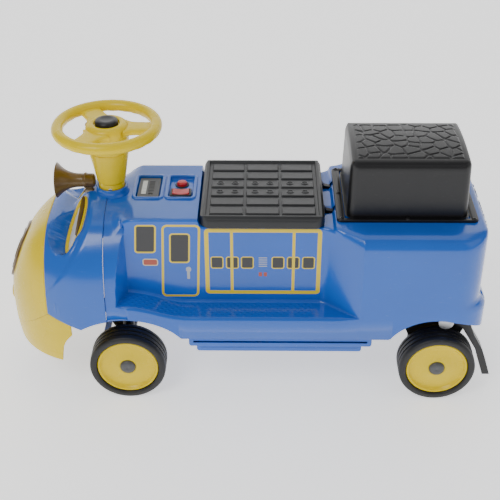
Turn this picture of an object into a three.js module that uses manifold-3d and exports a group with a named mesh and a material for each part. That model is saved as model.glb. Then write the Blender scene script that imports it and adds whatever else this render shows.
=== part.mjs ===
// Battery ride-on train for a toddler: body, nose, steering, drive, seat and tender box.
// Millimetres. +X is forward, +Y is the train's left, +Z is up. The origin lies on the ground,
// under the middle of the overall length. Every piece is a closed solid of its own.
import * as THREE from 'three';
import { mergeVertices } from 'three/addons/utils/BufferGeometryUtils.js';
import Module from 'manifold-3d';

const wasm = await Module();
wasm.setup();

// ---------------------------------------------------------------- driving sizes
// Clearances
const GAP = 0.4; // between parts that touch or nest
const RUN = 0.6; // around a turning or sliding part

// Layout along the train
const FRONT_AXLE_X = 224;
const WHEELBASE = 575;
const REAR_AXLE_X = FRONT_AXLE_X - WHEELBASE;
const REAR_X = REAR_AXLE_X - 80; // back of the rear skirt
const SEAM_X = FRONT_AXLE_X + 30; // joint between main body and nose shell
const MASK_X = SEAM_X + 107; // joint between nose shell and front mask

// Wheels
const TYRE_R = 71;
const TYRE_W = 47;
const DISC_R = 57.7;
const HUB_CAP_R = 14.5;
const AXLE_R = 5;
const TRACK_OUTER_Y = 151.5; // outer face of a tyre

// Main body
const WALL = 3;
const SIDE_Y = 153;
const PANEL_Y = 101; // half-width of the seat box and the dash
const SKIRT_Z = 143;
const STEP_Z = [125, 111]; // lower edges of the two inset steps under the skirt
const STEP_IN = 4; // how far each step is set in
const FOOTBOARD_Z = 190;
const FOOTBOARD_RISE = 22; // the footboard climbs towards the front wheel
const DECK_Z = 350; // under the seat
const DASH_Z = 365;
const TENDER_Z = 357;
const TENDER_SHOULDER_R = 50;
const REAR_CORNER_R = 50;
const TENDER_FRONT_X = REAR_AXLE_X + 150; // outer end of the rear footwell wall
const TENDER_SLANT = 65; // how far that wall slants forward to the seat box
const FOOTWELL_FRONT_X = SEAM_X - 35;
const FOOTWELL_SLANT = 17;
const DASH_X = 84; // step from seat deck up to the dash
const ARCH_Z = 100; // centre height of both wheel arches
const FRONT_ARCH = { x: FRONT_AXLE_X - 1, a: 118, b: 84 };
const REAR_ARCH = { x: REAR_AXLE_X + 9, a: 97, b: 86 };

// Nose
const BULB = { x: SEAM_X + 35, z: 145, a: 161, b: SIDE_Y, c: 209, n: 2.8 };
const COWL_H = 221; // cowl top above the bulb centre
const HOOD_Z = 333;
const SCREEN_TOP_X = SEAM_X + 39; // top edge of the sloping windscreen
const SCREEN_NORMAL = [0.771, 0.227, 0.595]; // left half; the right half mirrors it
const NOSE_LOW_Z = 164; // lower border of the nose shell at the wheel arch
const NOSE_LOW_SLOPE = 0.418;
const MASK_LOW_SLOPE = -0.9;
const BUMPER_Z = 85;

// Lamps on the windscreen
const LAMP = { along: 52, half: 54, width: 25, rim: 8, depth: 6, lens: 3 };

// Steering
const CRANK = 24; // steering shaft to tie rod
const ARM = 48; // knuckle pin to tie rod
const COLUMN_X = FRONT_AXLE_X + ARM - CRANK;
const COLUMN = [COLUMN_X, 0, 0];
const KINGPIN_Y = 88;
const KINGPIN_R = 5;
const SHAFT_R = 6;
const RIM_R = 86.5;
const RIM_TUBE_R = 10.5;
const RIM_Z = 495;
const HUB_R = 38;
const HUB_TOP_Z = 503;
const CONE_TOP_R = 36;
const CONE_LOW_R = 25;
const CONE_TOP_Z = 452;
const CONE_LOW_Z = 390;
const SLEEVE_R = 23.5;
const SLEEVE_LOW_Z = 371;
const COLLAR_R = 28.5;
const COLLAR_Z = 366; // the cowl's top, where the collar seats
const ARM_Z = 92; // underside of the knuckle arms
const ARM_T = 8;
const BEAM_Z = 110; // underside of the front axle beam
const TOWER_Z = 146; // underside of the bosses over the kingpins

// Seat and storage
const SEAT = { x0: REAR_AXLE_X + 217, x1: 82.4, y: 106.7, z: 370, t: 17 };
const HINGE = { x: REAR_AXLE_X + 205, z: 346, r: 3, arm: 9, y: 44 };
const BIN = { x0: HINGE.x + 34, x1: SEAT.x1 - 22.4, y: 80, depth: 96, t: 2.5, lip: 8 };

// Tender box
const BOX = { x: REAR_AXLE_X + 71, base: [105.5, 85], top: [101, 70], z: 466, crown: 9, wall: 3 };
const FLANGE = { half: [124, 94.4], t: 4, rim: 12 };
const SCREW_R = 4.5;

// Drive
const AXLE_GEAR_R = 38;
const IDLER_BIG_R = 31;
const IDLER_SMALL_R = 12;
const PINION_R = 9;
const MOTOR = { x: REAR_AXLE_X - 12, z: TYRE_R + 89, r: 14, length: 40 };
const GEARBOX = { y: [52, 84], wall: 2.5 };
const PLATE_Y = [86, 92]; // side plates of the rear frame
const BATTERY = { x: REAR_AXLE_X + 30, size: [101, 70, 94] };

// ---------------------------------------------------------------- materials
const material = (color, roughness, metalness = 0) =>
  new THREE.MeshStandardMaterial({ color, roughness, metalness });
const BLUE = material(0x1f74c8, 0.25);
const YELLOW = material(0xffdf00, 0.3);
const BLACK = material(0x1d1d1f, 0.55);
const RUBBER = material(0x17171a, 0.7);
const GREY = material(0x4a4648, 0.5);
const BRONZE = material(0x7d5a14, 0.35);
const RED = material(0xc01822, 0.3);
const WHITE = material(0xf2f2ee, 0.2);
const STEEL = material(0xb8bcc0, 0.3, 1);

// ---------------------------------------------------------------- helpers
const V = (x, y, z) => new THREE.Vector3(x, y, z);

function toSolid(geometry) {
  const bare = geometry.clone();
  bare.deleteAttribute('normal');
  bare.deleteAttribute('uv');
  const merged = mergeVertices(bare, 1e-4);
  return new wasm.Manifold(new wasm.Mesh({
    numProp: 3,
    vertProperties: new Float32Array(merged.attributes.position.array),
    triVerts: new Uint32Array(merged.index.array),
  }));
}

function toGeometry(solid) {
  const mesh = solid.getMesh();
  const points = new Float32Array(mesh.numVert * 3);
  for (let i = 0; i < mesh.numVert; i += 1) {
    for (let k = 0; k < 3; k += 1) points[3 * i + k] = mesh.vertProperties[mesh.numProp * i + k];
  }
  const geometry = new THREE.BufferGeometry();
  geometry.setAttribute('position', new THREE.BufferAttribute(points, 3));
  geometry.setIndex(new THREE.BufferAttribute(new Uint32Array(mesh.triVerts), 1));
  geometry.computeVertexNormals();
  return geometry;
}

const join = (...solids) => solids.reduce((sum, next) => sum.add(next));
const cut = (solid, ...tools) => tools.reduce((left, tool) => left.subtract(tool), solid);
const common = (...solids) => solids.reduce((left, next) => left.intersect(next));

const outline = (points) => new THREE.Shape(points.map(([a, b]) => new THREE.Vector2(a, b)));

function extruded(shape, depth, xAxis, yAxis, zAxis, start, curveSegments = 6) {
  const geometry = new THREE.ExtrudeGeometry(shape, { depth, bevelEnabled: false, curveSegments });
  const place = new THREE.Matrix4().makeBasis(xAxis, yAxis, zAxis).setPosition(start);
  return toSolid(geometry.applyMatrix4(place));
}

// An outline in X and Z, pushed along Y; one in Y and Z, along X; and one in X and Y, along Z.
const sidePlate = (shape, y0, y1, segments) =>
  extruded(shape, y1 - y0, V(1, 0, 0), V(0, 0, 1), V(0, -1, 0), V(0, y1, 0), segments);
const crossPlate = (shape, x0, x1, segments) =>
  extruded(shape, x1 - x0, V(0, 1, 0), V(0, 0, 1), V(1, 0, 0), V(x0, 0, 0), segments);
const planPlate = (shape, z0, z1, segments) =>
  extruded(shape, z1 - z0, V(1, 0, 0), V(0, 1, 0), V(0, 0, 1), V(0, 0, z0), segments);

function block(x0, x1, y0, y1, z0, z1) {
  const geometry = new THREE.BoxGeometry(x1 - x0, y1 - y0, z1 - z0);
  return toSolid(geometry.translate((x0 + x1) / 2, (y0 + y1) / 2, (z0 + z1) / 2));
}

// A profile of [radius, height] pairs, turned about a line through `centre` along `axis`.
function turned(profile, axis, centre, segments = 24) {
  const geometry = new THREE.LatheGeometry(profile.map(([r, h]) => new THREE.Vector2(r, h)), segments);
  if (axis === 'z') geometry.rotateX(Math.PI / 2);
  if (axis === 'x') geometry.rotateZ(-Math.PI / 2);
  return toSolid(geometry.translate(...centre));
}

const rod = (radius, from, to, axis, centre, segments) =>
  turned([[0, from], [radius, from], [radius, to], [0, to]], axis, centre, segments);

function mirrored(solid) {
  const geometry = toGeometry(solid).scale(1, -1, 1);
  const index = geometry.getIndex().array;
  for (let i = 0; i < index.length; i += 3) [index[i], index[i + 1]] = [index[i + 1], index[i]];
  return toSolid(geometry);
}

// Everything beyond a plane, as a big block to cut away.
function beyond(point, normal) {
  const size = 600;
  const geometry = new THREE.BoxGeometry(size, size, size).translate(0, 0, size / 2);
  const turn = new THREE.Quaternion().setFromUnitVectors(V(0, 0, 1), normal.clone().normalize());
  return toSolid(geometry.applyQuaternion(turn).translate(point.x, point.y, point.z));
}

function ellipse(x, z, a, b) {
  const shape = new THREE.Shape();
  shape.absellipse(x, z, a, b, 0, 2 * Math.PI, false, 0);
  return shape;
}

function roundedRect(x0, x1, y0, y1, r) {
  const shape = new THREE.Shape();
  shape.absarc(x1 - r, y1 - r, r, 0, Math.PI / 2);
  shape.absarc(x0 + r, y1 - r, r, Math.PI / 2, Math.PI);
  shape.absarc(x0 + r, y0 + r, r, Math.PI, 1.5 * Math.PI);
  shape.absarc(x1 - r, y0 + r, r, 1.5 * Math.PI, 2 * Math.PI);
  return shape;
}

function superellipse(b, c, n, z, count = 32) {
  const power = (value) => Math.sign(value) * Math.abs(value) ** (2 / n);
  const points = [];
  for (let i = 0; i < count; i += 1) {
    const angle = (2 * Math.PI * i) / count;
    points.push([b * power(Math.cos(angle)), z + c * power(Math.sin(angle))]);
  }
  return outline(points);
}

const group = new THREE.Group();
function add(name, solid, look) {
  const mesh = new THREE.Mesh(toGeometry(solid), look);
  mesh.name = name;
  group.add(mesh);
}
function addPair(name, solid, look) {
  add(`${name}_left`, solid, look);
  add(`${name}_right`, mirrored(solid), look);
}

// ---------------------------------------------------------------- body shell
const arch = ({ x, a, b }, grow) =>
  sidePlate(ellipse(x, ARCH_Z, a + grow, b + grow), -SIDE_Y - 20, SIDE_Y + 20, 14);

// Shoulders rounded over the tender's long edges.
function tenderProfile(t) {
  const r = TENDER_SHOULDER_R - t;
  const y = SIDE_Y - t;
  const z = TENDER_Z - t;
  const shape = new THREE.Shape();
  shape.moveTo(-y, SKIRT_Z + t);
  shape.lineTo(y, SKIRT_Z + t);
  shape.absarc(y - r, z - r, r, 0, Math.PI / 2);
  shape.absarc(-y + r, z - r, r, Math.PI / 2, Math.PI);
  return shape;
}

// Plan of the tender: rounded at the back, slanting in to the seat box at the front.
function tenderPlan(t, backX) {
  const r = REAR_CORNER_R - t;
  const y = SIDE_Y - t;
  const panel = PANEL_Y - t;
  const shape = new THREE.Shape();
  shape.moveTo(TENDER_FRONT_X - t, -y);
  shape.lineTo(TENDER_FRONT_X + TENDER_SLANT - t, -panel);
  shape.lineTo(TENDER_FRONT_X + TENDER_SLANT - t, panel);
  shape.lineTo(TENDER_FRONT_X - t, y);
  shape.absarc(backX + t + r, y - r, r, Math.PI / 2, Math.PI);
  shape.absarc(backX + t + r, -y + r, r, Math.PI, 1.5 * Math.PI);
  return shape;
}

// Plan of the whole footprint, for the footboards and skirt.
function footprint(t) {
  const r = REAR_CORNER_R - t;
  const y = SIDE_Y - t;
  const shape = new THREE.Shape();
  shape.moveTo(SEAM_X - GAP / 2 - t, -y);
  shape.lineTo(SEAM_X - GAP / 2 - t, y);
  shape.absarc(REAR_X + t + r, y - r, r, Math.PI / 2, Math.PI);
  shape.absarc(REAR_X + t + r, -y + r, r, Math.PI, 1.5 * Math.PI);
  return shape;
}

// The outer form of the body, with every face moved in by t.
function bodyForm(t) {
  const floor = SKIRT_Z + t;
  const board = FOOTBOARD_Z - t;
  const rise = board + FOOTBOARD_RISE;
  const seam = SEAM_X - GAP / 2 - t;
  const tub = common(
    sidePlate(outline([[REAR_X, floor], [SEAM_X, floor], [SEAM_X, rise],
      [FOOTWELL_FRONT_X, rise], [DASH_X + 25, board], [REAR_X, board]]), -SIDE_Y, SIDE_Y),
    planPlate(footprint(t), 0, 400),
  );
  const tender = common(
    planPlate(tenderPlan(t, REAR_X + 12), floor, 400),
    crossPlate(tenderProfile(t), REAR_X, FRONT_AXLE_X),
  );
  const spine = sidePlate(outline([[TENDER_FRONT_X, floor], [seam - 2, floor],
    [seam - 2, DASH_Z - t], [DASH_X + t, DASH_Z - t], [DASH_X + t, DECK_Z - t],
    [SEAT.x0 - 20 - t, DECK_Z - t], [SEAT.x0 - 20 - t, TENDER_Z - t],
    [TENDER_FRONT_X, TENDER_Z - t]]), -PANEL_Y + t, PANEL_Y - t);
  const cowl = common(
    crossPlate(superellipse(SIDE_Y - t, COWL_H - t, BULB.n, BULB.z), FOOTWELL_FRONT_X, seam),
    planPlate(outline([[FOOTWELL_FRONT_X + t, -PANEL_Y], [FOOTWELL_FRONT_X + FOOTWELL_SLANT + t, -SIDE_Y],
      [seam, -SIDE_Y], [seam, SIDE_Y], [FOOTWELL_FRONT_X + FOOTWELL_SLANT + t, SIDE_Y],
      [FOOTWELL_FRONT_X + t, PANEL_Y]]), floor, 400),
  );
  return cut(join(tub, tender, spine, cowl), arch(FRONT_ARCH, t), arch(REAR_ARCH, t));
}

const SKIRT_X0 = REAR_ARCH.x + REAR_ARCH.a * Math.sqrt(1 - ((SKIRT_Z - ARCH_Z) / REAR_ARCH.b) ** 2);
const SKIRT_X1 = FRONT_ARCH.x - FRONT_ARCH.a * Math.sqrt(1 - ((SKIRT_Z - ARCH_Z) / FRONT_ARCH.b) ** 2);
const SKIRT_STEPS = STEP_Z.map((z, i) => ({
  x0: SKIRT_X0 + 32 + 18 * i,
  x1: SKIRT_X1 - 14 * (i + 1),
  y: SIDE_Y - STEP_IN * (i + 1),
  z0: z,
  z1: i === 0 ? SKIRT_Z : STEP_Z[i - 1],
}));

const SOUND = { x: COLUMN_X - 66, y: -14, size: [44, 76], pocket: 5, t: 4 };
const SWITCHES = { x: COLUMN_X - 125, y: -14, size: [44, 76], pocket: 5, t: 4 };
const PUSH = { y: SWITCHES.y - 17, r: 9.5, rise: 7, travel: 2.5, recess: 3.2 };
const PAD_T = 12; // thickness of the dash under its pockets
const DASH_PAD = { x0: SWITCHES.x - 28, x1: SOUND.x + 28, y0: SOUND.y - 44, y1: SOUND.y + 44 };
const HINGE_BAY = { x0: HINGE.x - 11, x1: HINGE.x + 11, y: HINGE.y + HINGE.arm + 6, z: DECK_Z - 22 };
const BOX_OPENING = [FLANGE.half[0] - 32, FLANGE.half[1] - 30];

function mainBody() {
  const steps = SKIRT_STEPS.map((s) => block(s.x0, s.x1, -s.y, s.y, s.z0, s.z1 + 1));
  const bosses = [1, -1].map((s) => common(arch(FRONT_ARCH, 1), block(FRONT_AXLE_X - 32, FRONT_AXLE_X + 17,
    s * (KINGPIN_Y + 11) - 23, s * (KINGPIN_Y + 11) + 23, TOWER_Z, 200)));
  const outer = join(bodyForm(0), ...steps, ...bosses);
  const low = SKIRT_STEPS[SKIRT_STEPS.length - 1];
  const pads = [
    block(DASH_PAD.x0, DASH_PAD.x1, DASH_PAD.y0, DASH_PAD.y1, DASH_Z - PAD_T, DASH_Z),
    block(HINGE_BAY.x0 - WALL, HINGE_BAY.x1 + WALL, -HINGE_BAY.y - WALL, HINGE_BAY.y + WALL,
      HINGE_BAY.z - WALL, TENDER_Z),
  ];
  const inner = cut(join(
    bodyForm(WALL),
    block(low.x0 + WALL, low.x1 - WALL, -low.y + WALL, low.y - WALL, 0, FOOTBOARD_Z - WALL),
  ), ...pads);
  const openings = [
    block(BIN.x0 - RUN, BIN.x1 + RUN, -BIN.y - RUN, BIN.y + RUN, DECK_Z - 20, DECK_Z + 20),
    block(HINGE_BAY.x0, HINGE_BAY.x1, -HINGE_BAY.y, HINGE_BAY.y, HINGE_BAY.z, TENDER_Z + 20),
    block(BOX.x - BOX_OPENING[0], BOX.x + BOX_OPENING[0], -BOX_OPENING[1], BOX_OPENING[1],
      TENDER_Z - 20, TENDER_Z + 20),
    ...[SOUND, SWITCHES].map((p) => planPlate(roundedRect(p.x - p.size[0] / 2, p.x + p.size[0] / 2,
      p.y - p.size[1] / 2, p.y + p.size[1] / 2, 5), DASH_Z - p.pocket, DASH_Z + 20, 3)),
    rod(PUSH.r + RUN, DASH_Z - SWITCHES.pocket - PUSH.recess, 400, 'z', [SWITCHES.x, PUSH.y, 0], 18),
    rod(COLLAR_R - 5.5, 300, 400, 'z', COLUMN, 20),
    rod(SHAFT_R + 3, 0, 400, 'z', COLUMN, 12),
  ];
  return cut(outer, inner, ...openings);
}
add('main_body_shell', mainBody(), BLUE);

// ---------------------------------------------------------------- nose shell, mask and bumper
// A swollen nose: round from front to back, nearly square with soft corners across.
function bulb(t, height = BULB.c) {
  const sphere = new THREE.SphereGeometry(1, 24, 14).rotateX(Math.PI / 2);
  const at = sphere.attributes.position;
  for (let i = 0; i < at.count; i += 1) {
    const across = Math.hypot(at.getY(i), at.getZ(i));
    if (across > 1e-6) {
      const cy = Math.abs(at.getY(i) / across) ** BULB.n;
      const cz = Math.abs(at.getZ(i) / across) ** BULB.n;
      const swell = 1 / (cy + cz) ** (1 / BULB.n);
      at.setY(i, at.getY(i) * swell);
      at.setZ(i, at.getZ(i) * swell);
    }
  }
  sphere.scale(BULB.a - t, BULB.b - t, height - t);
  return toSolid(sphere.translate(BULB.x, 0, BULB.z));
}

const screenNormal = (side) => V(SCREEN_NORMAL[0], side * SCREEN_NORMAL[1], SCREEN_NORMAL[2]).normalize();
const screenPoint = (side, t) =>
  V(SCREEN_TOP_X, 0, BULB.z + COWL_H).addScaledVector(screenNormal(side), -t);

// Frame of a point on the left half of the windscreen: x along the lamp, y across it, z outward.
function lampFrame() {
  const out = screenNormal(1);
  const down = V(0.16, 0.82, 0).addScaledVector(V(0, 0, -1), 0.55);
  const along = down.addScaledVector(out, -down.dot(out)).normalize();
  const across = out.clone().cross(along);
  const centre = screenPoint(1, 0).addScaledVector(along, LAMP.along + 12);
  return { along, across, out, centre };
}

function lampSolid(half, width, from, to) {
  const { along, across, out, centre } = lampFrame();
  const shape = ellipse(0, 0, half, width);
  return extruded(shape, to - from, along, across, out, centre.addScaledVector(out, from), 9);
}

function noseForm(t) {
  const tall = common(bulb(t, COWL_H), block(BULB.x - 1, BULB.x + 60, -200, 200, 0, 400));
  const cowl = cut(
    join(crossPlate(superellipse(SIDE_Y - t, COWL_H - t, BULB.n, BULB.z), SEAM_X + GAP / 2, BULB.x), tall),
    beyond(screenPoint(1, t), screenNormal(1)),
    beyond(screenPoint(-1, t), screenNormal(-1)),
  );
  const hood = common(bulb(t), block(BULB.x - 1, MASK_X - GAP / 2, -200, 200, 0, HOOD_Z - t));
  const recess = lampSolid(LAMP.half + 2 + t, LAMP.width + 2 + t, -t, 80);
  const low = sidePlate(outline([[0, -400], [600, -400],
    [600, NOSE_LOW_Z + t + NOSE_LOW_SLOPE * (600 - SEAM_X - 50)],
    [0, NOSE_LOW_Z + t - NOSE_LOW_SLOPE * (SEAM_X + 50)]]), -200, 200);
  return cut(join(cowl, hood), recess, mirrored(recess), arch(FRONT_ARCH, t), low);
}

function noseShell() {
  const ends = join(
    common(noseForm(WALL), block(SEAM_X + 1, MASK_X, -200, 200, 0, 400)),
    crossPlate(superellipse(SIDE_Y - 12, COWL_H - 12, BULB.n, BULB.z), SEAM_X - 5, SEAM_X + 5),
  );
  const mouth = common(bulb(WALL), block(MASK_X - 10, MASK_X + 5, -200, 200, 0, HOOD_Z - WALL));
  const keep = cut(noseForm(0), ends, cut(mouth, block(0, 600, -200, 200, 0, NOSE_LOW_Z + 35)));
  return cut(keep,
    rod(COLLAR_R - 5.5, 300, 400, 'z', COLUMN, 20),
    rod(SHAFT_R + 3, 0, 400, 'z', COLUMN, 12));
}
add('nose_shell', noseShell(), BLUE);

const noseLowZ = (x) => NOSE_LOW_Z + NOSE_LOW_SLOPE * (x - SEAM_X - 50);
const maskLowZ = (x) => noseLowZ(MASK_X) + MASK_LOW_SLOPE * (x - MASK_X);
const NOSE_END_X = BULB.x + BULB.a + 5;

function mask() {
  const region = sidePlate(outline([[MASK_X + GAP / 2, noseLowZ(MASK_X) + GAP / 2],
    [NOSE_END_X, maskLowZ(NOSE_END_X) + GAP / 2], [NOSE_END_X, 400], [MASK_X + GAP / 2, 400]]), -200, 200);
  return common(cut(bulb(0), bulb(WALL)), region, block(0, 600, -200, 200, 0, HOOD_Z + 5));
}
add('front_mask', mask(), YELLOW);

function bumper() {
  const region = sidePlate(outline([[SEAM_X + 30, BUMPER_Z], [NOSE_END_X, BUMPER_Z],
    [NOSE_END_X, maskLowZ(NOSE_END_X) - GAP / 2], [MASK_X, noseLowZ(MASK_X) - GAP / 2],
    [SEAM_X + 30, noseLowZ(SEAM_X + 30) - GAP / 2]]), -200, 200);
  return common(cut(cut(bulb(0), bulb(WALL)), arch(FRONT_ARCH, 0)), region);
}
add('front_bumper', bumper(), YELLOW);

// Height of the bulb's front face: where it lies ahead of its centre at height z on the centre plane.
const bulbFrontX = (z) => BULB.x + BULB.a * Math.sqrt(1 - (Math.abs(z - BULB.z) / BULB.c) ** 2);

const PLATE = { z: 240, r: 52, t: 7 };
const KNOB = { z: 142, r: 18, tip: NOSE_END_X + 5 };
function nosePlate() {
  const disc = rod(PLATE.r, 0, 200, 'x', [BULB.x + 60, 0, PLATE.z], 32);
  return cut(common(disc, bulb(-PLATE.t - GAP)), bulb(-GAP));
}
add('nose_plate', nosePlate(), BRONZE);
add('coupling_knob', cut(turned([[0, 0], [KNOB.r, 0], [KNOB.r, KNOB.tip - BULB.x - BULB.a - 0.5],
  [KNOB.r - 4, KNOB.tip - BULB.x - BULB.a + 3.5], [0, KNOB.tip - BULB.x - BULB.a + 3.5]].map(([r, h]) =>
  [r, h + BULB.a - 3.5]), 'x', [BULB.x, 0, KNOB.z], 24), bulb(-GAP)), YELLOW);

// ---------------------------------------------------------------- lamps and vents
const lampRing = cut(
  lampSolid(LAMP.half, LAMP.width, GAP, LAMP.depth),
  lampSolid(LAMP.half - LAMP.rim, LAMP.width - LAMP.rim, -10, 40),
);
const lampLens = lampSolid(LAMP.half - LAMP.rim - GAP, LAMP.width - LAMP.rim - GAP, GAP, GAP + LAMP.lens);
function lampHood() {
  const { along, across, out, centre } = lampFrame();
  const ring = cut(
    lampSolid(LAMP.half - 1, LAMP.width - 1, LAMP.depth + GAP, LAMP.depth + 9),
    lampSolid(LAMP.half - 7, LAMP.width - 7, 0, 60),
  );
  const rear = beyond(centre.clone().addScaledVector(across, LAMP.width * 0.1), across);
  const ends = [1, -1].map((s) => beyond(centre.clone().addScaledVector(along, s * LAMP.half * 0.72),
    along.clone().multiplyScalar(s)));
  return cut(common(ring, rear), ...ends, beyond(centre.clone().addScaledVector(out, 60), out));
}
addPair('lamp_bezel', lampRing, YELLOW);
addPair('lamp_lens', lampLens, WHITE);
addPair('lamp_hood', lampHood(), BRONZE);

// ---------------------------------------------------------------- steering
const SPOKE_ANGLES = [60, 180, 300];

function steeringWheel() {
  const ringProfile = [];
  const sides = 8;
  for (let i = 0; i <= sides; i += 1) {
    const angle = (2 * Math.PI * i) / sides;
    ringProfile.push([RIM_R + RIM_TUBE_R * Math.cos(angle), RIM_Z + RIM_TUBE_R * Math.sin(angle)]);
  }
  const rim = turned(ringProfile, 'z', COLUMN, 26);
  const hub = turned([[0, CONE_TOP_Z + GAP], [CONE_TOP_R, CONE_TOP_Z + GAP], [HUB_R, RIM_Z - 12],
    [HUB_R, HUB_TOP_Z - 8], [HUB_R - 8, HUB_TOP_Z], [0, HUB_TOP_Z]], 'z', COLUMN, 20);
  const spokes = SPOKE_ANGLES.map((degrees) => {
    const geometry = new THREE.BoxGeometry(RIM_R - HUB_R + 12, 34, 12);
    geometry.translate((RIM_R + HUB_R) / 2, 0, RIM_Z - 4).rotateZ(THREE.MathUtils.degToRad(degrees));
    return toSolid(geometry.translate(COLUMN_X, 0, 0));
  });
  return cut(join(rim, hub, ...spokes),
    rod(SHAFT_R + GAP, 0, RIM_Z - 20, 'z', COLUMN, 12),
    rod(BUTTON_R + RUN, HUB_TOP_Z - BUTTON_DEPTH, HUB_TOP_Z + 5, 'z', COLUMN, 18));
}
const BUTTON_R = 20.5;
const BUTTON_DEPTH = 10;
const BUTTON_TRAVEL = 3;
add('steering_wheel', steeringWheel(), YELLOW);
add('horn_button', turned([[0, HUB_TOP_Z - BUTTON_DEPTH + BUTTON_TRAVEL + 0.4],
  [BUTTON_R, HUB_TOP_Z - BUTTON_DEPTH + BUTTON_TRAVEL + 0.4], [BUTTON_R, HUB_TOP_Z + 3],
  [BUTTON_R * 0.8, HUB_TOP_Z + 5.4], [0, HUB_TOP_Z + 6.5]], 'z', COLUMN, 18), GREY);
add('column_cone', cut(turned([[0, CONE_LOW_Z], [CONE_LOW_R, CONE_LOW_Z], [CONE_TOP_R, CONE_TOP_Z],
  [0, CONE_TOP_Z]], 'z', COLUMN, 20), rod(SHAFT_R + GAP, 0, 600, 'z', COLUMN, 12)), YELLOW);
const SCREW_Z = SLEEVE_LOW_Z + 8;
add('column_sleeve', cut(turned([[0, SLEEVE_LOW_Z], [SLEEVE_R - 0.8, SLEEVE_LOW_Z],
  [SLEEVE_R, CONE_LOW_Z - GAP], [0, CONE_LOW_Z - GAP]], 'z', COLUMN, 20),
  rod(SHAFT_R + GAP, 0, 600, 'z', COLUMN, 12),
  rod(2 + GAP, 0, 40, 'y', [COLUMN_X, 0, SCREW_Z], 10),
  rod(3.6 + GAP, SLEEVE_R - 2.4, 40, 'y', [COLUMN_X, 0, SCREW_Z], 14)), YELLOW);
add('column_screw', join(rod(2, SHAFT_R + GAP, SLEEVE_R, 'y', [COLUMN_X, 0, SCREW_Z], 10),
  rod(3.6, SLEEVE_R - 2, SLEEVE_R, 'y', [COLUMN_X, 0, SCREW_Z], 14)), STEEL);
add('column_collar', cut(turned([[0, COLLAR_Z - 18], [COLLAR_R - 6, COLLAR_Z - 18],
  [COLLAR_R - 6, COLLAR_Z + GAP], [COLLAR_R, COLLAR_Z + GAP], [COLLAR_R, COLLAR_Z + 13],
  [0, COLLAR_Z + 13]], 'z', COLUMN, 20),
  rod(SLEEVE_R + RUN, SLEEVE_LOW_Z - GAP, 500, 'z', COLUMN, 20),
  rod(SHAFT_R + RUN, 0, 500, 'z', COLUMN, 12)), BLUE);

const CRANK_Z = ARM_Z - 14; // underside of the crank, below the tie rod
const TIE_Z = CRANK_Z + 6 + GAP; // underside of the tie rod
const TIE_T = 5;
const PIN_R = 3;
const TIE_X = COLUMN_X + CRANK;
function crankedShaft() {
  const lever = planPlate(roundedRect(COLUMN_X - 9, TIE_X + 8, -8, 8, 7.9), CRANK_Z, CRANK_Z + 6, 5);
  const pin = rod(PIN_R, CRANK_Z + 3, TIE_Z + TIE_T + 2, 'z', [TIE_X, 0, 0], 12);
  return join(rod(SHAFT_R, CRANK_Z + 1, RIM_Z - 24, 'z', COLUMN, 12), lever, pin);
}
add('steering_shaft', crankedShaft(), STEEL);

function slot(x, y, halfLength, radius, z0, z1) {
  return planPlate(roundedRect(x - halfLength - radius, x + halfLength + radius, y - radius, y + radius,
    radius - 0.01), z0, z1, 4);
}
const KNUCKLE_Z = [54, ARM_Z + ARM_T + 6];
const CRANK_SLOT = 7.5; // the crank pin swings this far back along its slot
const CRANK_SLOT_R = PIN_R + 2.4;
const SLOT_WALL = 2.2;
const ARM_SLOT = 4.5;
function tieRod() {
  const bar = block(TIE_X - 6, TIE_X + 6, -KINGPIN_Y - 7, KINGPIN_Y + 7, TIE_Z, TIE_Z + TIE_T);
  const pad = block(TIE_X - CRANK_SLOT - 0.5 - CRANK_SLOT_R - SLOT_WALL, TIE_X + 0.5 + CRANK_SLOT_R + SLOT_WALL,
    -12, 12, TIE_Z, TIE_Z + TIE_T);
  const pins = [1, -1].map((s) =>
    rod(PIN_R, TIE_Z + 2, ARM_Z + ARM_T - 1, 'z', [TIE_X, s * KINGPIN_Y, 0], 12));
  const hole = slot(TIE_X - CRANK_SLOT / 2, 0, CRANK_SLOT / 2 + 0.5, CRANK_SLOT_R, TIE_Z - 1, TIE_Z + TIE_T + 1);
  return cut(join(bar, pad, ...pins), hole);
}
add('tie_rod', tieRod(), BLACK);

const WHEEL_Y = TRACK_OUTER_Y - TYRE_W / 2;
function knuckle() {
  const x = FRONT_AXLE_X;
  const barrel = rod(11, KNUCKLE_Z[0], KNUCKLE_Z[1], 'z', [x, KINGPIN_Y, 0], 12);
  const stub = rod(AXLE_R, KINGPIN_Y + 5, TRACK_OUTER_Y - 8, 'y', [x, 0, TYRE_R], 16);
  const arm = planPlate(roundedRect(x, x + ARM + 10, KINGPIN_Y - 8, KINGPIN_Y + 8, 7.9), ARM_Z, ARM_Z + ARM_T, 5);
  const hole = slot(x + ARM + ARM_SLOT / 2 - 1, KINGPIN_Y, ARM_SLOT / 2 + 1, PIN_R + 1.2, ARM_Z - 1, ARM_Z + ARM_T + 1);
  return cut(join(barrel, stub, arm), hole, rod(KINGPIN_R + GAP, 0, 300, 'z', [x, KINGPIN_Y, 0], 12));
}
addPair('knuckle', knuckle(), BLACK);

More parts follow.
